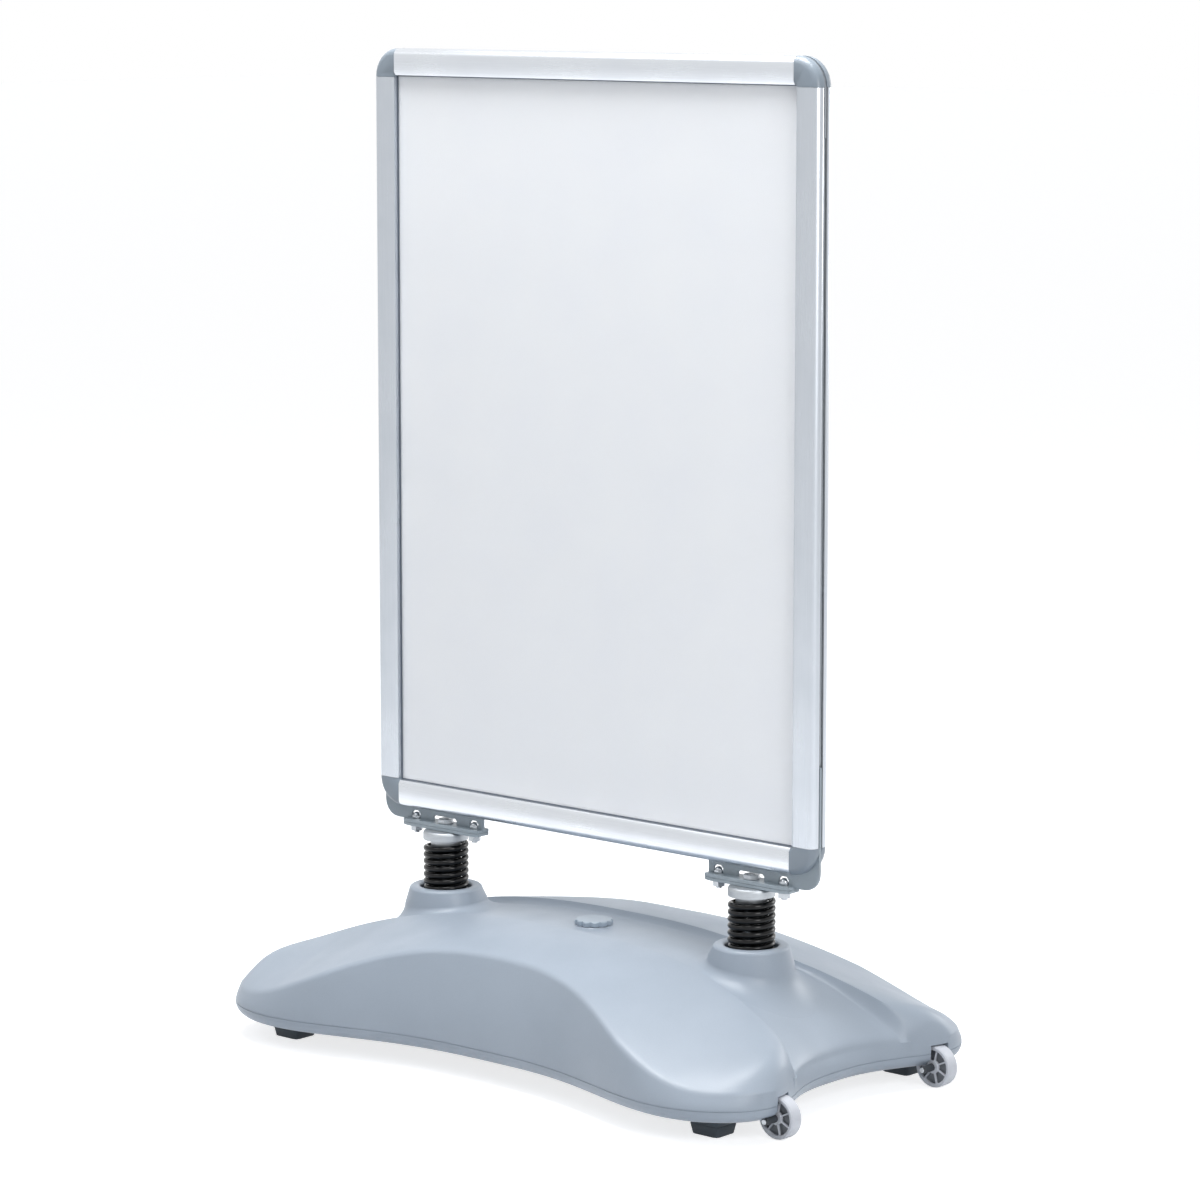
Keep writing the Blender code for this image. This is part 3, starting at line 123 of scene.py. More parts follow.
def surface(name, light, dark, roughness, grain, height, stretch=(1, 1, 1), spread=0.06, **sockets):
    """A finish whose colour wanders between two hex values, with a grain of a size and height in metres."""
    material = bpy.data.materials.new(name)
    material.use_nodes = True
    tree = material.node_tree
    shader = tree.nodes["Principled BSDF"]
    for socket, value in sockets.items():
        shader.inputs[socket.replace("_", " ")].default_value = value
    place = add(tree, "ShaderNodeTexCoord", {}).outputs["Object"]
    drawn = add(tree, "ShaderNodeMapping", {"Vector": place, "Scale": stretch}).outputs[0]
    slow = {"Vector": place, "Scale": CLOUD_SCALE, "Detail": CLOUD_DETAIL}
    quick = {"Vector": drawn, "Scale": 1 / grain, "Detail": GRAIN_DETAIL}
    clouds = add(tree, "ShaderNodeTexNoise", slow).outputs["Fac"]
    fine = add(tree, "ShaderNodeTexNoise", quick).outputs["Fac"]
    both = add(tree, "ShaderNodeMix", {0: GRAIN_SHARE, 2: clouds, 3: fine}).outputs[0]
    sharper = add(tree, "ShaderNodeMapRange", {0: both, 1: WANDER_LOW, 2: WANDER_HIGH}).outputs[0]
    ends = {0: sharper, 6: colour(dark), 7: colour(light)}
    tint = add(tree, "ShaderNodeMix", ends, data_type="RGBA").outputs[2]
    shine = {0: sharper, 3: roughness + spread, 4: roughness - spread}
    gloss = add(tree, "ShaderNodeMapRange", shine).outputs[0]
    bump = add(tree, "ShaderNodeBump", {"Height": fine, "Distance": height, "Strength": 1}).outputs[0]
    tree.links.new(tint, shader.inputs["Base Color"])
    tree.links.new(gloss, shader.inputs["Roughness"])
    tree.links.new(bump, shader.inputs["Normal"])
    return material


# Blow-moulded polyethylene: waxy and matt, with a fine sand-blasted mould grain
tank_plastic = surface("blow_moulded_polyethylene", "9BA6B3", "96A1AE", 0.42, 0.0012, 0.00003)
# Injection moulded polypropylene cap: a slightly paler grey, a little smoother
cap_plastic = surface("moulded_polypropylene", "A0ADBA", "9AA7B4", 0.4, 0.0008, 0.00001)
# Anodised aluminium extrusion: satin, with drawing lines along its length
rail_upright = surface("anodised_aluminium_upright", "C4C9D0", "BBC1C8", 0.3, 0.0006, 0.000004,
                       stretch=(1, 1, 0.01), spread=0.04, Metallic=1.0)
# Painted light: the level rails are given a paler colour than the upright ones, for the light they catch
# lying level
rail_level_painted_lighter = surface("anodised_aluminium_level_painted_lighter", "D9DDE2", "D0D4DA", 0.3, 0.0006, 0.000004,
                     stretch=(0.01, 1, 1), spread=0.04, Metallic=1.0)
# Mill-finished aluminium under the rails: duller and unbrushed, its colour darkened as painted shade in the
# gap between the front and rear frames
mill_aluminium_and_painted_shade = surface("mill_aluminium_and_gap_shade", "90959A", "858A90", 0.45, 0.0009, 0.000006, Metallic=1.0)
# Moulded ABS corner: plain grey with a satin shell
corner_plastic = surface("moulded_abs", "87929D", "818C97", 0.34, 0.0007, 0.000008)
# White rigid PVC sheet: smooth, even, with the gloss of the clear sheet on it
white_sheet = surface("white_rigid_pvc", "F2F5F9", "EFF2F7", 0.35, 0.004, 0.000004, spread=0.03,
                      Coat_Weight=0.6, Coat_Roughness=0.04)
# Clear PVC cover: a thin film that shows only as a shine
clear_sheet = surface("clear_pvc_film", "FFFFFF", "FAFCFF", 0.06, 0.02, 0.00001, spread=0.02, Alpha=0.06)
# Black enamel on spring steel: deep and wet-looking
black_enamel = surface("black_enamel", "08090B", "050607", 0.18, 0.003, 0.000005, spread=0.04,
                       Specular_IOR_Level=0.28)
# Grey powder coat on sheet steel: an even orange peel
powder_coat = surface("grey_powder_coat", "9AA6AF", "919DA6", 0.34, 0.0012, 0.00002)
# Turned aluminium: bright, with tool rings round its axis
turned_aluminium = surface("turned_aluminium", "B4B8BC", "A2A7AC", 0.48, 0.0007, 0.00001,
                           stretch=(0.05, 0.05, 1), Metallic=1.0)
# Bright zinc plate on screws and pins: the shiniest metal here, faintly clouded
zinc_plate = surface("bright_zinc_plate", "B4B8BD", "9EA3A8", 0.24, 0.0008, 0.000004, Metallic=1.0)
# Moulded nylon wheel: pale and slightly waxy
wheel_nylon = surface("moulded_nylon", "CBCFD7", "C2C6CF", 0.42, 0.0008, 0.00001)
# The wheel's web: how far it reaches to each side of the wheel's middle, and how far out, in metres
WEB_HALF_WIDTH = 0.0045
WEB_RADIUS = 0.0192


def darken_web(material, node, web):
    """Makes the sunk web of a wheel darker, inside the tread and between the rims."""
    low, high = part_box(node)
    middle = (low + high) / 2
    tree = material.node_tree
    shader = tree.nodes["Principled BSDF"]
    tint = shader.inputs["Base Color"].links[0].from_socket
    place = add(tree, "ShaderNodeTexCoord", {}).outputs["Object"]
    parts = add(tree, "ShaderNodeSeparateXYZ", {0: place})
    across = add(tree, "ShaderNodeMath", {0: parts.outputs["Y"]}, operation="ABSOLUTE").outputs[0]
    flat = add(tree, "ShaderNodeCombineXYZ", {"X": parts.outputs["X"], "Z": parts.outputs["Z"]}).outputs[0]
    ends = {0: flat, 1: (middle.x, 0, middle.z)}
    away = add(tree, "ShaderNodeVectorMath", ends, operation="DISTANCE").outputs["Value"]
    band = {0: across, 1: abs(middle.y), 2: WEB_HALF_WIDTH}
    sunk = add(tree, "ShaderNodeMath", band, operation="COMPARE").outputs[0]
    inside = add(tree, "ShaderNodeMath", {0: away, 1: WEB_RADIUS}, operation="LESS_THAN").outputs[0]
    share = add(tree, "ShaderNodeMath", {0: sunk, 1: inside}, operation="MULTIPLY").outputs[0]
    mixed = add(tree, "ShaderNodeMix", {0: share, 6: tint, 7: colour(web)}, data_type="RGBA").outputs[2]
    tree.links.new(mixed, shader.inputs["Base Color"])


darken_web(wheel_nylon, "wheel_front", "7F8389")
# Dark moulded sleeve
sleeve_plastic = surface("dark_moulded_nylon", "3B3F45", "34383D", 0.4, 0.0008, 0.00001)
# Moulded rubber foot: dull and blue-black
foot_rubber = surface("moulded_rubber", "424C55", "38424A", 0.6, 0.0009, 0.00003)
# Painted shadow: a blue-grey, rubber-like strip on each clear sheet, standing for the shade of the rails'
# lips
lip_shadow_paint = surface("painted_lip_shadow", "6A7380", "626B78", 0.5, 0.0008, 0.00001)
# Black rubber seal
seal_rubber = surface("black_rubber", "17181A", "101113", 0.65, 0.0008, 0.00002)

# Pieces made from the CAD's own forms: metres and degrees
MERGE_DISTANCE = 0.000005
FLAT_ANGLE = 0.6
EDGE_ANGLE = 35
EDGE_SEGMENTS = 2


def merged(node):
    """A mesh of the CAD node with its loose triangles joined and its flat faces made whole."""
    work = bmesh.new()
    work.from_mesh(nodes[node].data)
    bmesh.ops.remove_doubles(work, verts=work.verts, dist=MERGE_DISTANCE)
    bmesh.ops.dissolve_limit(work, verts=work.verts, edges=work.edges, angle_limit=math.radians(FLAT_ANGLE))
    mesh = bpy.data.meshes.new(node + "_finished")
    work.to_mesh(mesh)
    work.free()
    return mesh


def eased(node, material, body, width):
    """The CAD node's form with its hard edges eased by a width, as the real piece leaves its tool."""
    mesh = merged(node)
    mesh.materials.append(material)
    mesh.shade_smooth()
    mesh.set_sharp_from_angle(angle=math.radians(EDGE_ANGLE))
    piece = bpy.data.objects.new(node + "_finished", mesh)
    scene.collection.objects.link(piece)
    edge = piece.modifiers.new("eased_edges", "BEVEL")
    edge.width = width
    edge.segments = EDGE_SEGMENTS
    edge.limit_method = "ANGLE"
    edge.angle_limit = math.radians(EDGE_ANGLE)
    edge.harden_normals = True
    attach(piece, body)
    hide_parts(node)


for face in ("front", "rear"):
    for hand in ("left", "right"):
        eased("foot_%s_%s" % (face, hand), foot_rubber, "base", 0.0006)
        for level in ("top", "bottom"):
            eased("corner_%s_%s_%s" % (face, level, hand), corner_plastic, "panel", 0.0006)
        eased("snap_rail_%s_%s" % (face, hand), rail_upright, "rail_%s_%s" % (face, hand), 0.0003)
        eased("profile_%s_%s" % (face, hand), mill_aluminium_and_painted_shade, "panel", 0.0002)
    for level in ("top", "bottom"):
        eased("snap_rail_%s_%s" % (face, level), rail_level_painted_lighter, "rail_%s_%s" % (face, level), 0.0003)
        eased("profile_%s_%s" % (face, level), mill_aluminium_and_painted_shade, "panel", 0.0002)
    eased("wheel_" + face, wheel_nylon, "wheel_" + face, 0.0004)
    eased("axle_" + face, zinc_plate, "base", 0.0003)
    for side in ("inner", "outer"):
        eased("axle_sleeve_%s_%s" % (face, side), sleeve_plastic, "base", 0.0003)
    nodes["back_panel_" + face].data.materials.clear()
    nodes["back_panel_" + face].data.materials.append(white_sheet)
    nodes["cover_sheet_" + face].data.materials.clear()
    nodes["cover_sheet_" + face].data.materials.append(clear_sheet)
for hand in ("left", "right"):
    eased("spring_seat_" + hand, powder_coat, "base", 0.0004)
    eased("spring_cap_" + hand, turned_aluminium, "panel", 0.0005)
    eased("clamp_plate_" + hand, powder_coat, "panel", 0.0006)
    eased("bracket_" + hand, powder_coat, "panel", 0.0006)
    eased("top_plate_" + hand, mill_aluminium_and_painted_shade, "panel", 0.0005)
    for side in ("inner", "outer"):
        eased("clamp_bolt_%s_%s" % (hand, side), zinc_plate, "panel", 0.0003)
eased("filler_cap", cap_plastic, "filler_cap", 0.0005)
eased("cap_seal", seal_rubber, "cap_seal", 0.0002)

# Painted shadow: a fine dark line round each clear sheet, just inside the rails' lips, where their shade
# falls
LIP_SHADOW_GAP = 0.0002
LIP_SHADOW_WIDTH = 0.0011
LIP_SHADOW_HEIGHT = 0.0007


def lip_shadow_strip(face):
    """Narrow dark strip on a clear sheet, just inside the lips of the four rails: painted shadow of the
    lips.
    """
    sheet_low, sheet_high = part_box("cover_sheet_" + face)
    out_y = sheet_low.y if face == "front" else sheet_high.y
    toward = -1 if face == "front" else 1
    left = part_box("snap_rail_%s_left" % face)[1].x + LIP_SHADOW_GAP
    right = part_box("snap_rail_%s_right" % face)[0].x - LIP_SHADOW_GAP
    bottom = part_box("snap_rail_%s_bottom" % face)[1].z + LIP_SHADOW_GAP
    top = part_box("snap_rail_%s_top" % face)[0].z - LIP_SHADOW_GAP
    work = bmesh.new()
    rings = []
    for inset in (0, LIP_SHADOW_WIDTH):
        for lift in (LIP_SHADOW_GAP, LIP_SHADOW_HEIGHT):
            y = out_y + toward * lift
            corners = ((left + inset, bottom + inset), (right - inset, bottom + inset),
                       (right - inset, top - inset), (left + inset, top - inset))
            rings.append([work.verts.new((x, y, z)) for x, z in corners])
    outer_low, outer_high, inner_low, inner_high = rings
    round_section = ((outer_low, outer_high), (outer_high, inner_high), (inner_high, inner_low),
                     (inner_low, outer_low))
    for first, second in round_section:
        for index in range(4):
            following = (index + 1) % 4
            work.faces.new((first[index], first[following], second[following], second[index]))
    bmesh.ops.recalc_face_normals(work, faces=work.faces)
    mesh = bpy.data.meshes.new("lip_shadow_strip_" + face)
    work.to_mesh(mesh)
    work.free()
    mesh.materials.append(lip_shadow_paint)
    shadow_strip = bpy.data.objects.new("lip_shadow_strip_" + face, mesh)
    scene.collection.objects.link(shadow_strip)
    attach(shadow_strip, "panel")


for face in ("front", "rear"):
    lip_shadow_strip(face)

# The moulded tank: sizes in metres from its own middle, for one quarter of it
PARTING_Z = 0.040
UNDERSIDE_Z = 0.025
UNDERSIDE_INSET = 0.014
WALL_BULGE_POWER = 1.5
WAIST_Y = 0.190
SHOULDER_X = 0.290
SHOULDER_Y = 0.238
TIP_X = 0.396
TIP_Y = 0.156
END_X = 0.358
WAIST_POWER = 1.4
CREASE_LOW_Z = 0.056
CREASE_RISE = 0.085
CREASE_END_X = 0.360
CREASE_POWER = 1.38
CREASE_TIP_RISE = 0.001
CREASE_WAIST_INSET = 0.028
CREASE_INSET = 0.008
CREASE_INSET_POWER = 1.5
CREASE_TIP_INSET = 0.0005
CREASE_INSET_END_X = 0.220
CREASE_ROUNDING = 0.006
CREASE_TIP_ROUNDING = 0.0004
LOBE_END_X = 0.380
LOBE_MID_Z = 0.1575
LOBE_FALL = 0.075
LOBE_FALL_POWER = 2.6
LOBE_CROWN = 0.003
LOBE_END_CROWN = 0.018
LOBE_CROWN_POWER = 0.75
LOBE_TIP_Z = 0.057
LOBE_END_RADIUS = 0.026
LOBE_END_POWER = 1.6
END_PULL_POWER = 4
INNER_EDGE_Y = 0.056
INNER_EDGE_FLARE = 0.048
INNER_FLARE_START_X = 0.140
INNER_FLARE_POWER = 1.5
INNER_WALL_WIDTH = 0.007
INNER_WALL_END_WIDTH = 0.012
VALLEY_DEPTH = 0.0068
VALLEY_END_Z = 0.057
VALLEY_END_INSET = 0.006
VALLEY_END_RADIUS = 0.100
COLLAR_TOP_Z = 0.1645
COLLAR_RADIUS = 0.0485
COLLAR_TOP_RADIUS = 0.0435
COLLAR_FLARE = 0.022
COLLAR_FLARE_HEIGHT = 0.028
COLLAR_ROUNDING = 0.005
COLLAR_ROOT_Z = 0.080
COLLAR_OUTER_FLARE = 0.5
COLLAR_FLARE_SHARE = 0.55
WELL_RADIUS = 0.030
WELL_FLOOR_Z = 0.110
WELL_MOUTH_SHARE = 0.25
CUT_ROOM = 0.01
NECK_RISE = 0.001
NECK_RADIUS = 0.0155
NECK_DEPTH = 0.022
NOTCH_WIDTH = 0.025
NOTCH_CLEARANCE = 0.0014
CHANNEL_END = 0.004
TOUCH_GAP = 0.0003

SIDE_STATIONS = 60
CORNER_STATIONS = 20
VALLEY_STEPS = 14
INNER_WALL_STEPS = 10
INNER_WALL_POWER = 1.7
LOBE_STEPS = 12
ROUNDING_STEPS = 5
WALL_STEPS = 8
UNDERSIDE_STEPS = 6
SEAM_HEIGHT = 0.0012
SEAM_DEPTH = 0.0007
# Rings of the groove at the parting line: share of its height above the line, share of its depth
SEAM_RINGS = ((0.3, 1), (-0.3, 1), (-0.5, 0))
TURNING_STEPS = 96
COLLAR_ROUNDING_STEPS = 6
COLLAR_FLARE_STEPS = 16
COLLAR_FLARE_END = 266
WELL_MOUTH_STEPS = 5
STATION_STEP = 0.001
SLOPE_STEP = 0.001
WELD_DISTANCE = 0.00001
MIRROR_DISTANCE = 0.00005
TANK_EDGE_ANGLE = 40


def waist_ease(share):
    """0 at the waist, 1 at the shoulder, smooth at both."""
    return math.sin(math.pi / 2 * share ** WAIST_POWER) ** 2


def outline_point(station):
    """Point of the parting line: station 0-1 runs along the side, 1-2 round the corner."""
    if station <= 1:
        return Vector((SHOULDER_X * station, WAIST_Y + (SHOULDER_Y - WAIST_Y) * waist_ease(station)))
    angle = math.pi / 2 * (2 - station)
    x = SHOULDER_X + (TIP_X - SHOULDER_X) * math.cos(angle)
    return Vector((x, TIP_Y + (SHOULDER_Y - TIP_Y) * math.sin(angle)))


def outline_normal(station):
    """Outward direction of the parting line at a station."""
    if station <= 0:
        return Vector((0, 1))
    if station >= 2:
        return Vector((1, 0))
    along = outline_point(min(station + STATION_STEP, 2)) - outline_point(station - STATION_STEP)
    return Vector((-along.y, along.x)).normalized()


def end_outline_x(y):
    """X of the parting line across the end of the tank."""
    return END_X + (TIP_X - END_X) * waist_ease(min(y / TIP_Y, 1))


def end_edge_x(y):
    """X of the top edge across the end of the tank."""
    share = min(y / TIP_Y, 1)
    return end_outline_x(y) - VALLEY_END_INSET - (CREASE_TIP_INSET - VALLEY_END_INSET) * share


def crease_point(station):
    """Where the top and the side wall would meet at a station if the crease were sharp."""
    point = outline_point(station)
    run = min(point.x / CREASE_INSET_END_X, 1)
    corner = max(station - 1, 0)
    inset = CREASE_WAIST_INSET + (CREASE_INSET - CREASE_WAIST_INSET) * run ** CREASE_INSET_POWER
    inset += (CREASE_TIP_INSET - CREASE_INSET) * corner ** 2
    place = point - outline_normal(station) * inset
    share = min(place.x / CREASE_END_X, 1)
    height = CREASE_LOW_Z + CREASE_RISE * math.cos(math.pi / 2 * share ** CREASE_POWER) ** 2
    return Vector((place.x, place.y, height + CREASE_TIP_RISE * corner ** 3))


def lobe_edge_z(x):
    """Height of a lobe's inner edge."""
    return LOBE_MID_Z - LOBE_FALL * (x / LOBE_END_X) ** LOBE_FALL_POWER


def lobe_edge_y(x):
    """Distance of a lobe's inner edge from the middle of the tank."""
    share = max((x - INNER_FLARE_START_X) / (LOBE_END_X - INNER_FLARE_START_X), 0)
    return INNER_EDGE_Y + INNER_EDGE_FLARE * share ** INNER_FLARE_POWER


def end_distance(x, y):
    """How far a point of the top is from the end of the tank, along X."""
    if y <= TIP_Y:
        return max(end_edge_x(y) - x, 0)
    share = min((y - TIP_Y) / (SHOULDER_Y - TIP_Y), 1)
    return max(SHOULDER_X + (TIP_X - SHOULDER_X) * math.sqrt(1 - share ** 2) - CREASE_TIP_INSET - x, 0)


def rounded_end(height, distance, end_height, radius):
    """A height of the top, brought down to the end height over the last stretch."""
    if distance >= radius:
        return height
    return end_height + (height - end_height) * math.sqrt(1 - (1 - distance / radius) ** 2)


def valley_z(x, y):
    """Height of the valley floor, which rounds over at the end of the tank."""
    return rounded_end(lobe_edge_z(x) - VALLEY_DEPTH, end_distance(x, y), VALLEY_END_Z, VALLEY_END_RADIUS)


def top_section(station):
    """Points across the top at a station: valley floor, inner wall, lobe, and the rounded crease."""
    crease = crease_point(station)
    corner = max(station - 1, 0)
    start = crease_point(1).x
    edge_x = start + (LOBE_END_X - start) * (1 - (1 - corner) ** LOBE_END_POWER) if corner else crease.x
    edge_y = lobe_edge_y(edge_x)
    edge_z = rounded_end(lobe_edge_z(edge_x), end_distance(edge_x, edge_y), LOBE_TIP_Z, LOBE_END_RADIUS)
    wall_width = INNER_WALL_WIDTH + (INNER_WALL_END_WIDTH - INNER_WALL_WIDTH) * edge_x / LOBE_END_X
    foot_y = edge_y - wall_width
    pull = (edge_x / LOBE_END_X) ** END_PULL_POWER
    points = []
    for step in range(VALLEY_STEPS):
        y = foot_y * step / VALLEY_STEPS
        x = edge_x - pull * (LOBE_END_X - end_edge_x(y))
        points.append(Vector((x, y, valley_z(x, y))))
    for step in range(INNER_WALL_STEPS + 1):
        share = step / INNER_WALL_STEPS
        y = foot_y + wall_width * share
        x = edge_x - pull * (LOBE_END_X - end_edge_x(y)) * (1 - share)
        floor = valley_z(x, y)
        points.append(Vector((x, y, floor + (edge_z - floor) * share ** INNER_WALL_POWER)))
    edge = Vector((edge_x, edge_y, lobe_edge_z(edge_x)))
    rounding = CREASE_ROUNDING + (CREASE_TIP_ROUNDING - CREASE_ROUNDING) * corner
    last = 1 - rounding / (crease.xy - edge.xy).length
    crown = LOBE_CROWN + (LOBE_END_CROWN - LOBE_CROWN) * corner
    for step in range(1, LOBE_STEPS + 1):
        share = last * (1 - math.cos(math.pi * step / LOBE_STEPS)) / 2
        point = edge.lerp(crease, share)
        if station >= 2:
            point.x = end_edge_x(point.y)
        height = point.z + crown * (4 * share * (1 - share)) ** LOBE_CROWN_POWER
        point.z = rounded_end(height, end_distance(point.x, point.y), LOBE_TIP_Z, LOBE_END_RADIUS)
        points.append(point)
    crease.z = min(crease.z, points[-1].z)
    wall_foot = outline_point(station).to_3d() + Vector((0, 0, PARTING_Z))
    below = crease + (wall_foot - crease).normalized() * rounding
    above = points[-1].copy()
    for step in range(1, ROUNDING_STEPS + 1):
        share = step / ROUNDING_STEPS
        points.append(above.lerp(crease, share).lerp(crease.lerp(below, share), share))
    return points


def strip(work, rows):
    """Quads between neighbouring rows of equally many vertices."""
    for row, following in zip(rows, rows[1:]):
        for index in range(len(row) - 1):
            work.faces.new((row[index], row[index + 1], following[index + 1], following[index]))


def tank_quarter():
    """One quarter of the tank's skin, open at its two planes of symmetry."""
    stations = [step / SIDE_STATIONS for step in range(SIDE_STATIONS)]
    stations += [1 + step / CORNER_STATIONS for step in range(CORNER_STATIONS + 1)]
    work = bmesh.new()
    top = [[work.verts.new(point) for point in top_section(station)] for station in stations]
    strip(work, top)
    rim = [row[-1] for row in top] + list(reversed(top[-1][:-1]))
    outline = [(outline_point(station), outline_normal(station)) for station in stations]
    for vert in rim[len(stations):]:
        y = vert.co.y
        slope = (end_outline_x(y + SLOPE_STEP) - end_outline_x(abs(y - SLOPE_STEP))) / (2 * SLOPE_STEP)
        normal = Vector((1, -slope)).normalized() if y > 0 else Vector((1, 0))
        outline.append((Vector((end_outline_x(y), y)), normal))
    rows = [rim]
    for step in range(1, WALL_STEPS + 1):
        share = step / WALL_STEPS
        ring = []
        for vert, (place, _) in zip(rim, outline):
            point = vert.co.lerp((place.x, place.y, 0), 1 - (1 - share) ** WALL_BULGE_POWER)
            point.z = vert.co.z + (PARTING_Z + SEAM_HEIGHT / 2 - vert.co.z) * share
            ring.append(work.verts.new(point))
        rows.append(ring)
    for height, depth in SEAM_RINGS:
        ring = []
        for place, normal in outline:
            point = place - normal * SEAM_DEPTH * depth
            ring.append(work.verts.new((point.x, point.y, PARTING_Z + SEAM_HEIGHT * height)))
        rows.append(ring)
    for step in range(1, UNDERSIDE_STEPS + 1):
        angle = math.pi / 2 * step / UNDERSIDE_STEPS
        start_z = PARTING_Z - SEAM_HEIGHT / 2
        z = start_z - (start_z - UNDERSIDE_Z) * math.sin(angle)
        ring = []
        for place, normal in outline:
            point = place - normal * UNDERSIDE_INSET * (1 - math.cos(angle))
            ring.append(work.verts.new((point.x, point.y, z)))
        rows.append(ring)
    strip(work, rows)
    work.faces.new([work.verts.new((0, 0, UNDERSIDE_Z))] + rows[-1])
    mesh = bpy.data.meshes.new("tank_quarter")
    work.to_mesh(mesh)
    work.free()
    return mesh


def arc(centre_r, centre_z, radius, start, end, steps, height=None):
    """Points of a profile on an arc from start to end degrees, or of an ellipse where a height is given."""
    points = []
    for step in range(steps + 1):
        angle = math.radians(start + (end - start) * step / steps)
        points.append((centre_r + radius * math.cos(angle), centre_z + (height or radius) * math.sin(angle)))
    return points


def turned(profile, place=(0, 0, 0)):
    """A mesh turned about an upright axis from a profile of (radius, height)."""
    work = bmesh.new()
    points = [work.verts.new((radius, 0, height)) for radius, height in profile]
    edges = [work.edges.new(pair) for pair in zip(points, points[1:])]
    bmesh.ops.spin(work, geom=points + edges, cent=(0, 0, 0), axis=(0, 0, 1), angle=2 * math.pi,
                   steps=TURNING_STEPS, use_merge=True)
    bmesh.ops.remove_doubles(work, verts=work.verts, dist=WELD_DISTANCE)
    bmesh.ops.recalc_face_normals(work, faces=work.faces)
    bmesh.ops.translate(work, verts=work.verts, vec=place)
    mesh = bpy.data.meshes.new("turned")
    work.to_mesh(mesh)
    work.free()
    return mesh


def block(low, high):
    """A box between two corners, for cutting with."""
    work = bmesh.new()
    size = Vector(high) - Vector(low)
    middle = (Vector(high) + Vector(low)) / 2
    bmesh.ops.create_cube(work, size=1, matrix=Matrix.Translation(middle) @ Matrix.Diagonal((*size, 1)))
    mesh = bpy.data.meshes.new("block")
    work.to_mesh(mesh)
    work.free()
    return mesh


def cut(piece, tools):
    """Applies the piece's modifiers, then joins and cuts it with each (mesh, operation)."""
    helpers = []
    for mesh, operation in tools:
        helper = bpy.data.objects.new("tool", mesh)
        scene.collection.objects.link(helper)
        modifier = piece.modifiers.new("tool", "BOOLEAN")
        modifier.operation = operation
        modifier.solver = "MANIFOLD"
        modifier.object = helper
        helpers.append(helper)
    bpy.context.view_layer.update()
    mesh = bpy.data.meshes.new_from_object(piece.evaluated_get(bpy.context.evaluated_depsgraph_get()))
    piece.modifiers.clear()
    piece.data = mesh
    for helper in helpers:
        bpy.data.objects.remove(helper)


def collar_reach(x, angle):
    """Radius at which a collar's skirt has run out: further on the side that looks to the tank's end."""
    outward = max(math.copysign(1, x) * math.cos(angle), 0)
    return COLLAR_RADIUS + COLLAR_FLARE * (1 + COLLAR_OUTER_FLARE * outward)


def collar_mesh(x, middle_x, tank_x):
    """Outside of a spring collar, x from the springs' middle, with its skirt run out on the valley floor."""
    work = bmesh.new()
    columns = []
    for step in range(TURNING_STEPS + 1):
        angle = 2 * math.pi * (step % TURNING_STEPS) / TURNING_STEPS
        ahead = Vector((math.cos(angle), math.sin(angle)))

        def floor(radius):
            return valley_z(abs(middle_x + x + radius * ahead.x - tank_x), abs(radius * ahead.y))

        reach = collar_reach(x, angle)
        room = COLLAR_TOP_Z - COLLAR_ROUNDING - floor(COLLAR_RADIUS)
        height = min(COLLAR_FLARE_HEIGHT, COLLAR_FLARE_SHARE * room)
        profile = arc(COLLAR_TOP_RADIUS - COLLAR_ROUNDING, COLLAR_TOP_Z - COLLAR_ROUNDING, COLLAR_ROUNDING,
                      90, 0, COLLAR_ROUNDING_STEPS)
        skirt = arc(reach, height, reach - COLLAR_RADIUS, 180, COLLAR_FLARE_END, COLLAR_FLARE_STEPS, height)
        for radius, rise in skirt:
            profile.append((radius, floor(radius) + rise))
        profile.append((reach, COLLAR_ROOT_Z))
        column = [(middle_x + x + radius * ahead.x, radius * ahead.y, z) for radius, z in profile]
        columns.append([work.verts.new(point) for point in column])
    strip(work, columns)
    for row, z in ((0, COLLAR_TOP_Z), (-1, COLLAR_ROOT_Z)):
        centre = work.verts.new((middle_x + x, 0, z))
        for column, following in zip(columns, columns[1:]):
            work.faces.new((column[row], following[row], centre))
    bmesh.ops.remove_doubles(work, verts=work.verts, dist=WELD_DISTANCE)
    bmesh.ops.recalc_face_normals(work, faces=work.faces)
    mesh = bpy.data.meshes.new("collar")
    work.to_mesh(mesh)
    work.free()
    return mesh


def well_mesh(x, middle_x):
    """Hole of a spring collar with a rounded mouth."""
    mouth = (COLLAR_TOP_RADIUS - WELL_RADIUS) * WELL_MOUTH_SHARE
    profile = [(0, COLLAR_TOP_Z + CUT_ROOM), (WELL_RADIUS + mouth, COLLAR_TOP_Z + CUT_ROOM)]
    profile += arc(WELL_RADIUS + mouth, COLLAR_TOP_Z - mouth, mouth, 90, 180, WELL_MOUTH_STEPS)
    profile += [(WELL_RADIUS, WELL_FLOOR_Z), (0, WELL_FLOOR_Z)]
    return turned(profile, (middle_x + x, 0, 0))


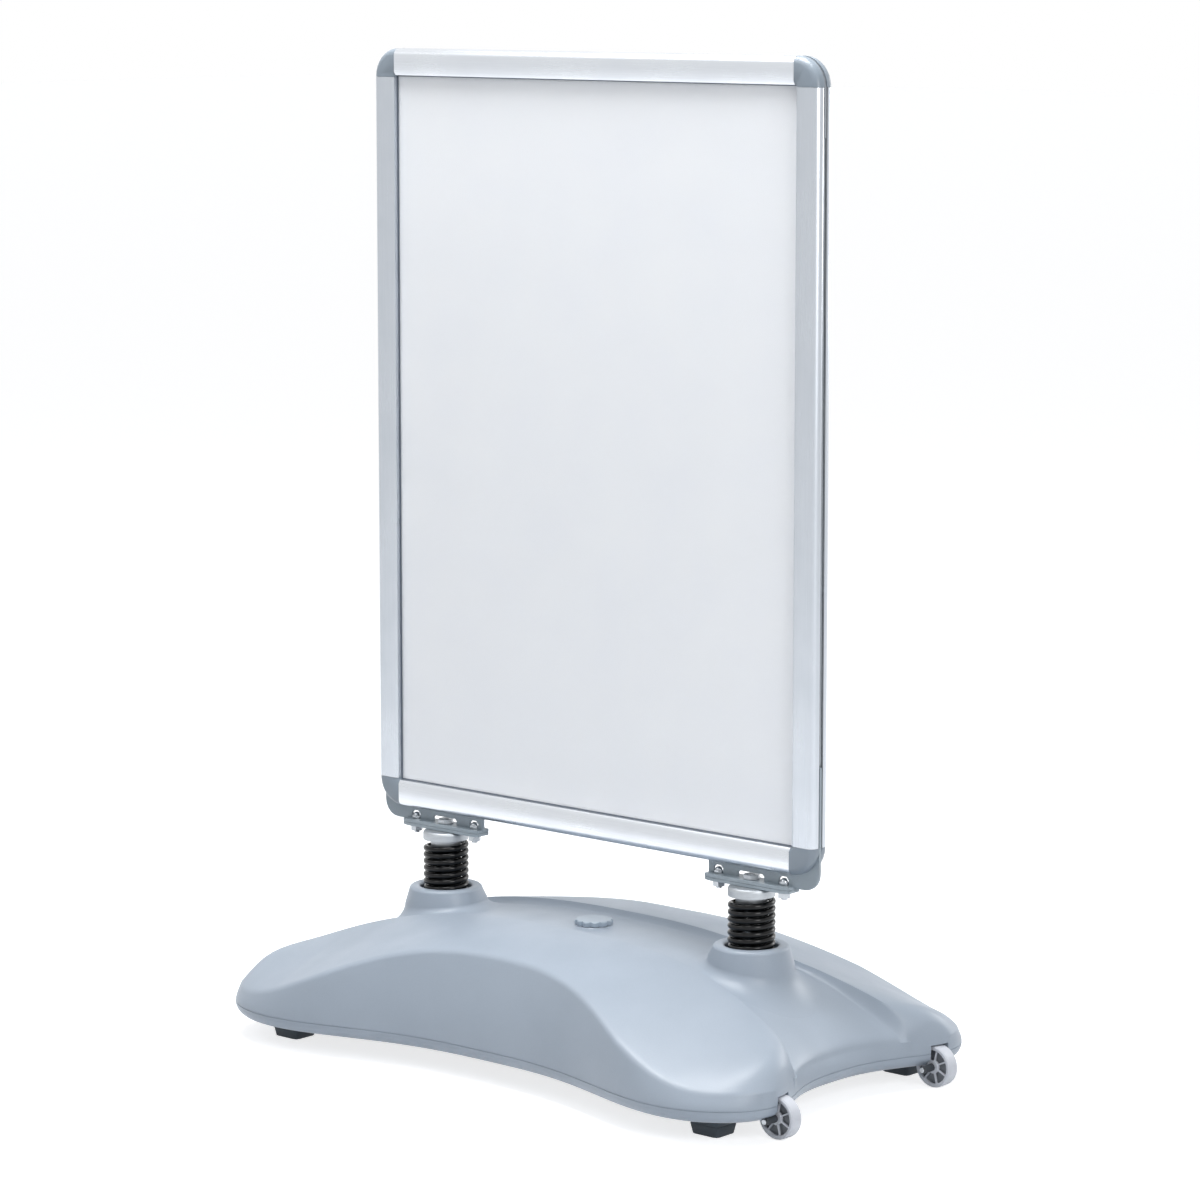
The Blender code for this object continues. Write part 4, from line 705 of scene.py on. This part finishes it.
def moulded_tank():
    """The tank as one smooth moulding with its collars, filler neck and wheel notches."""
    tank = bpy.data.objects.new("moulded_tank", tank_quarter())
    scene.collection.objects.link(tank)
    mirror = tank.modifiers.new("mirror", "MIRROR")
    mirror.use_axis = (True, True, False)
    mirror.merge_threshold = MIRROR_DISTANCE
    cut(tank, [])
    low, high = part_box("base_tank")
    work = bmesh.new()
    work.from_mesh(tank.data)
    tank_x = (low.x + high.x) / 2
    bmesh.ops.translate(work, verts=work.verts, vec=(tank_x, 0, 0))
    bmesh.ops.recalc_face_normals(work, faces=work.faces)
    work.to_mesh(tank.data)
    work.free()

    seats = [sum(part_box("spring_seat_" + hand), Vector()).x / 2 for hand in ("left", "right")]
    middle_x = sum(seats) / 2
    spring_x = (seats[1] - seats[0]) / 2
    tools = [(collar_mesh(side * spring_x, middle_x, tank_x), "UNION") for side in (-1, 1)]
    tools += [(well_mesh(-spring_x, middle_x), "DIFFERENCE"), (well_mesh(spring_x, middle_x), "DIFFERENCE")]
    cap_low, cap_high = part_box("filler_cap")
    seal_low, seal_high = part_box("cap_seal")
    cap_radius = (cap_high.y - cap_low.y) / 2
    seal_radius = (seal_high.y - seal_low.y) / 2
    neck_z = valley_z(0, 0) + NECK_RISE
    rim = [(0, neck_z), (cap_radius, neck_z), (cap_radius + 2 * NECK_RISE, neck_z - 2 * NECK_RISE)]
    tools.append((turned(rim + [(0, neck_z - 2 * NECK_RISE)], (middle_x, 0, 0)), "UNION"))
    seat_z = seal_low.z - TOUCH_GAP
    bore = [(0, neck_z + NECK_RISE), (seal_radius, neck_z + NECK_RISE), (seal_radius, seat_z)]
    bore += [(NECK_RADIUS, seat_z), (NECK_RADIUS, seat_z - NECK_DEPTH), (0, seat_z - NECK_DEPTH)]
    tools.append((turned(bore, (middle_x, 0, 0)), "DIFFERENCE"))
    for name in ("front", "rear"):
        low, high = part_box("wheel_" + name)
        middle = (low + high) / 2
        sleeve_low, sleeve_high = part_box("axle_sleeve_%s_outer" % name)
        wheel_room = (high.z - low.z) / 2 + NOTCH_CLEARANCE
        sleeve_room = (sleeve_high.z - sleeve_low.z) / 2 + TOUCH_GAP
        reach = max(abs(sleeve_low.y - middle.y), abs(sleeve_high.y - middle.y)) + CHANNEL_END
        for half, room in ((NOTCH_WIDTH / 2, wheel_room), (reach, sleeve_room)):
            corner_low = (middle.x - room, middle.y - half, -half)
            corner_high = (high.x + room, middle.y + half, middle.z + room)
            tools.append((block(corner_low, corner_high), "DIFFERENCE"))
    cut(tank, tools)

    tank.data.materials.clear()
    tank.data.materials.append(tank_plastic)
    tank.data.shade_smooth()
    tank.data.set_sharp_from_angle(angle=math.radians(TANK_EDGE_ANGLE))
    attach(tank, "base")
    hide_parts("base_tank")


moulded_tank()

# Springs: one helix of round wire each, in metres
SPRING_RADIUS = 0.0235
SPRING_WIRE = 0.007
SPRING_CURLS = 12.5
POINTS_PER_CURL = 28
WIRE_RESOLUTION = 4


def coil_spring(hand):
    """One compression spring, in the place of the CAD's but from a rounder wire."""
    low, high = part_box("spring_" + hand)
    middle = (low + high) / 2
    curve = bpy.data.curves.new("coil", "CURVE")
    curve.dimensions = "3D"
    curve.bevel_depth = SPRING_WIRE / 2
    curve.bevel_resolution = WIRE_RESOLUTION
    curve.use_fill_caps = True
    spline = curve.splines.new("POLY")
    count = round(SPRING_CURLS * POINTS_PER_CURL)
    spline.points.add(count)
    bottom = low.z + SPRING_WIRE / 2
    rise = high.z - low.z - SPRING_WIRE
    for index, point in enumerate(spline.points):
        turn = 2 * math.pi * index / POINTS_PER_CURL
        point.co = (middle.x + SPRING_RADIUS * math.cos(turn), middle.y + SPRING_RADIUS * math.sin(turn),
                    bottom + rise * index / count, 1)
    rod = bpy.data.objects.new("coil", curve)
    scene.collection.objects.link(rod)
    bpy.context.view_layer.update()
    mesh = bpy.data.meshes.new_from_object(rod.evaluated_get(bpy.context.evaluated_depsgraph_get()))
    bpy.data.objects.remove(rod)
    mesh.materials.clear()
    mesh.materials.append(black_enamel)
    mesh.shade_smooth()
    piece = bpy.data.objects.new("coil_spring_" + hand, mesh)
    scene.collection.objects.link(piece)
    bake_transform(piece)
    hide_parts("spring_" + hand)


coil_spring("left")
coil_spring("right")

# Floor, background and light
FLOOR_SIZE = 30
FLOOR_COLOUR = "C9CBCE"
FLOOR_ROUGHNESS = 0.9
FLOOR_GLOW = 0.75
FILL_STRENGTH = 0.3
BACKGROUND_STRENGTH = 1.0


def add_floor():
    """A pale studio floor that keeps the sign's shadow and looks white to the camera."""
    work = bmesh.new()
    bmesh.ops.create_grid(work, x_segments=1, y_segments=1, size=FLOOR_SIZE)
    mesh = bpy.data.meshes.new("studio_floor")
    work.to_mesh(mesh)
    work.free()
    material = bpy.data.materials.new("pale_studio_floor")
    material.use_nodes = True
    tree = material.node_tree
    shader = tree.nodes["Principled BSDF"]
    shader.inputs["Base Color"].default_value = colour(FLOOR_COLOUR)
    shader.inputs["Roughness"].default_value = FLOOR_ROUGHNESS
    shader.inputs["Emission Color"].default_value = colour("FFFFFF")
    path = add(tree, "ShaderNodeLightPath", {})
    rays = {0: path.outputs["Is Camera Ray"], 1: path.outputs["Is Glossy Ray"]}
    seen = add(tree, "ShaderNodeMath", rays, operation="MAXIMUM").outputs[0]
    strength = add(tree, "ShaderNodeMath", {0: seen, 1: FLOOR_GLOW}, operation="MULTIPLY").outputs[0]
    tree.links.new(strength, shader.inputs["Emission Strength"])
    mesh.materials.append(material)
    floor = bpy.data.objects.new("studio_floor", mesh)
    scene.collection.objects.link(floor)


def add_world():
    """A white background for the camera and for reflections, over a plain soft fill light."""
    world = bpy.data.worlds.new("studio")
    scene.world = world
    world.use_nodes = True
    tree = world.node_tree
    path = add(tree, "ShaderNodeLightPath", {})
    rays = {0: path.outputs["Is Glossy Ray"], 1: path.outputs["Is Transmission Ray"]}
    shiny = add(tree, "ShaderNodeMath", rays, operation="MAXIMUM").outputs[0]
    rays = {0: path.outputs["Is Camera Ray"], 1: shiny}
    seen = add(tree, "ShaderNodeMath", rays, operation="MAXIMUM").outputs[0]
    levels = {0: seen, 3: FILL_STRENGTH, 4: BACKGROUND_STRENGTH}
    strength = add(tree, "ShaderNodeMapRange", levels).outputs[0]
    background = tree.nodes["Background"]
    background.inputs["Color"].default_value = colour("FFFFFF")
    tree.links.new(strength, background.inputs["Strength"])


def add_softbox(name, place, target, size, power):
    """A square soft light turned towards a point."""
    light = bpy.data.lights.new(name, "AREA")
    light.energy = power
    light.size = size
    lamp = bpy.data.objects.new(name, light)
    scene.collection.objects.link(lamp)
    towards = Vector(target) - Vector(place)
    lamp.matrix_world = Matrix.Translation(place) @ towards.to_track_quat("-Z", "Y").to_matrix().to_4x4()


add_floor()
add_world()
add_softbox("overhead_softbox", (-0.1, -0.2, 2.7), (0, 0, 0.2), 1.4, 78)
add_softbox("left_softbox", (-1.2, -1.8, 2.6), (0, 0, 1.2), 1.0, 11)
add_softbox("right_softbox", (2.4, -0.8, 1.4), (0, 0, 0.2), 0.9, 23)
add_softbox("back_softbox", (0.8, 3.2, 1.2), (0, 0, 0.7), 1.2, 20)
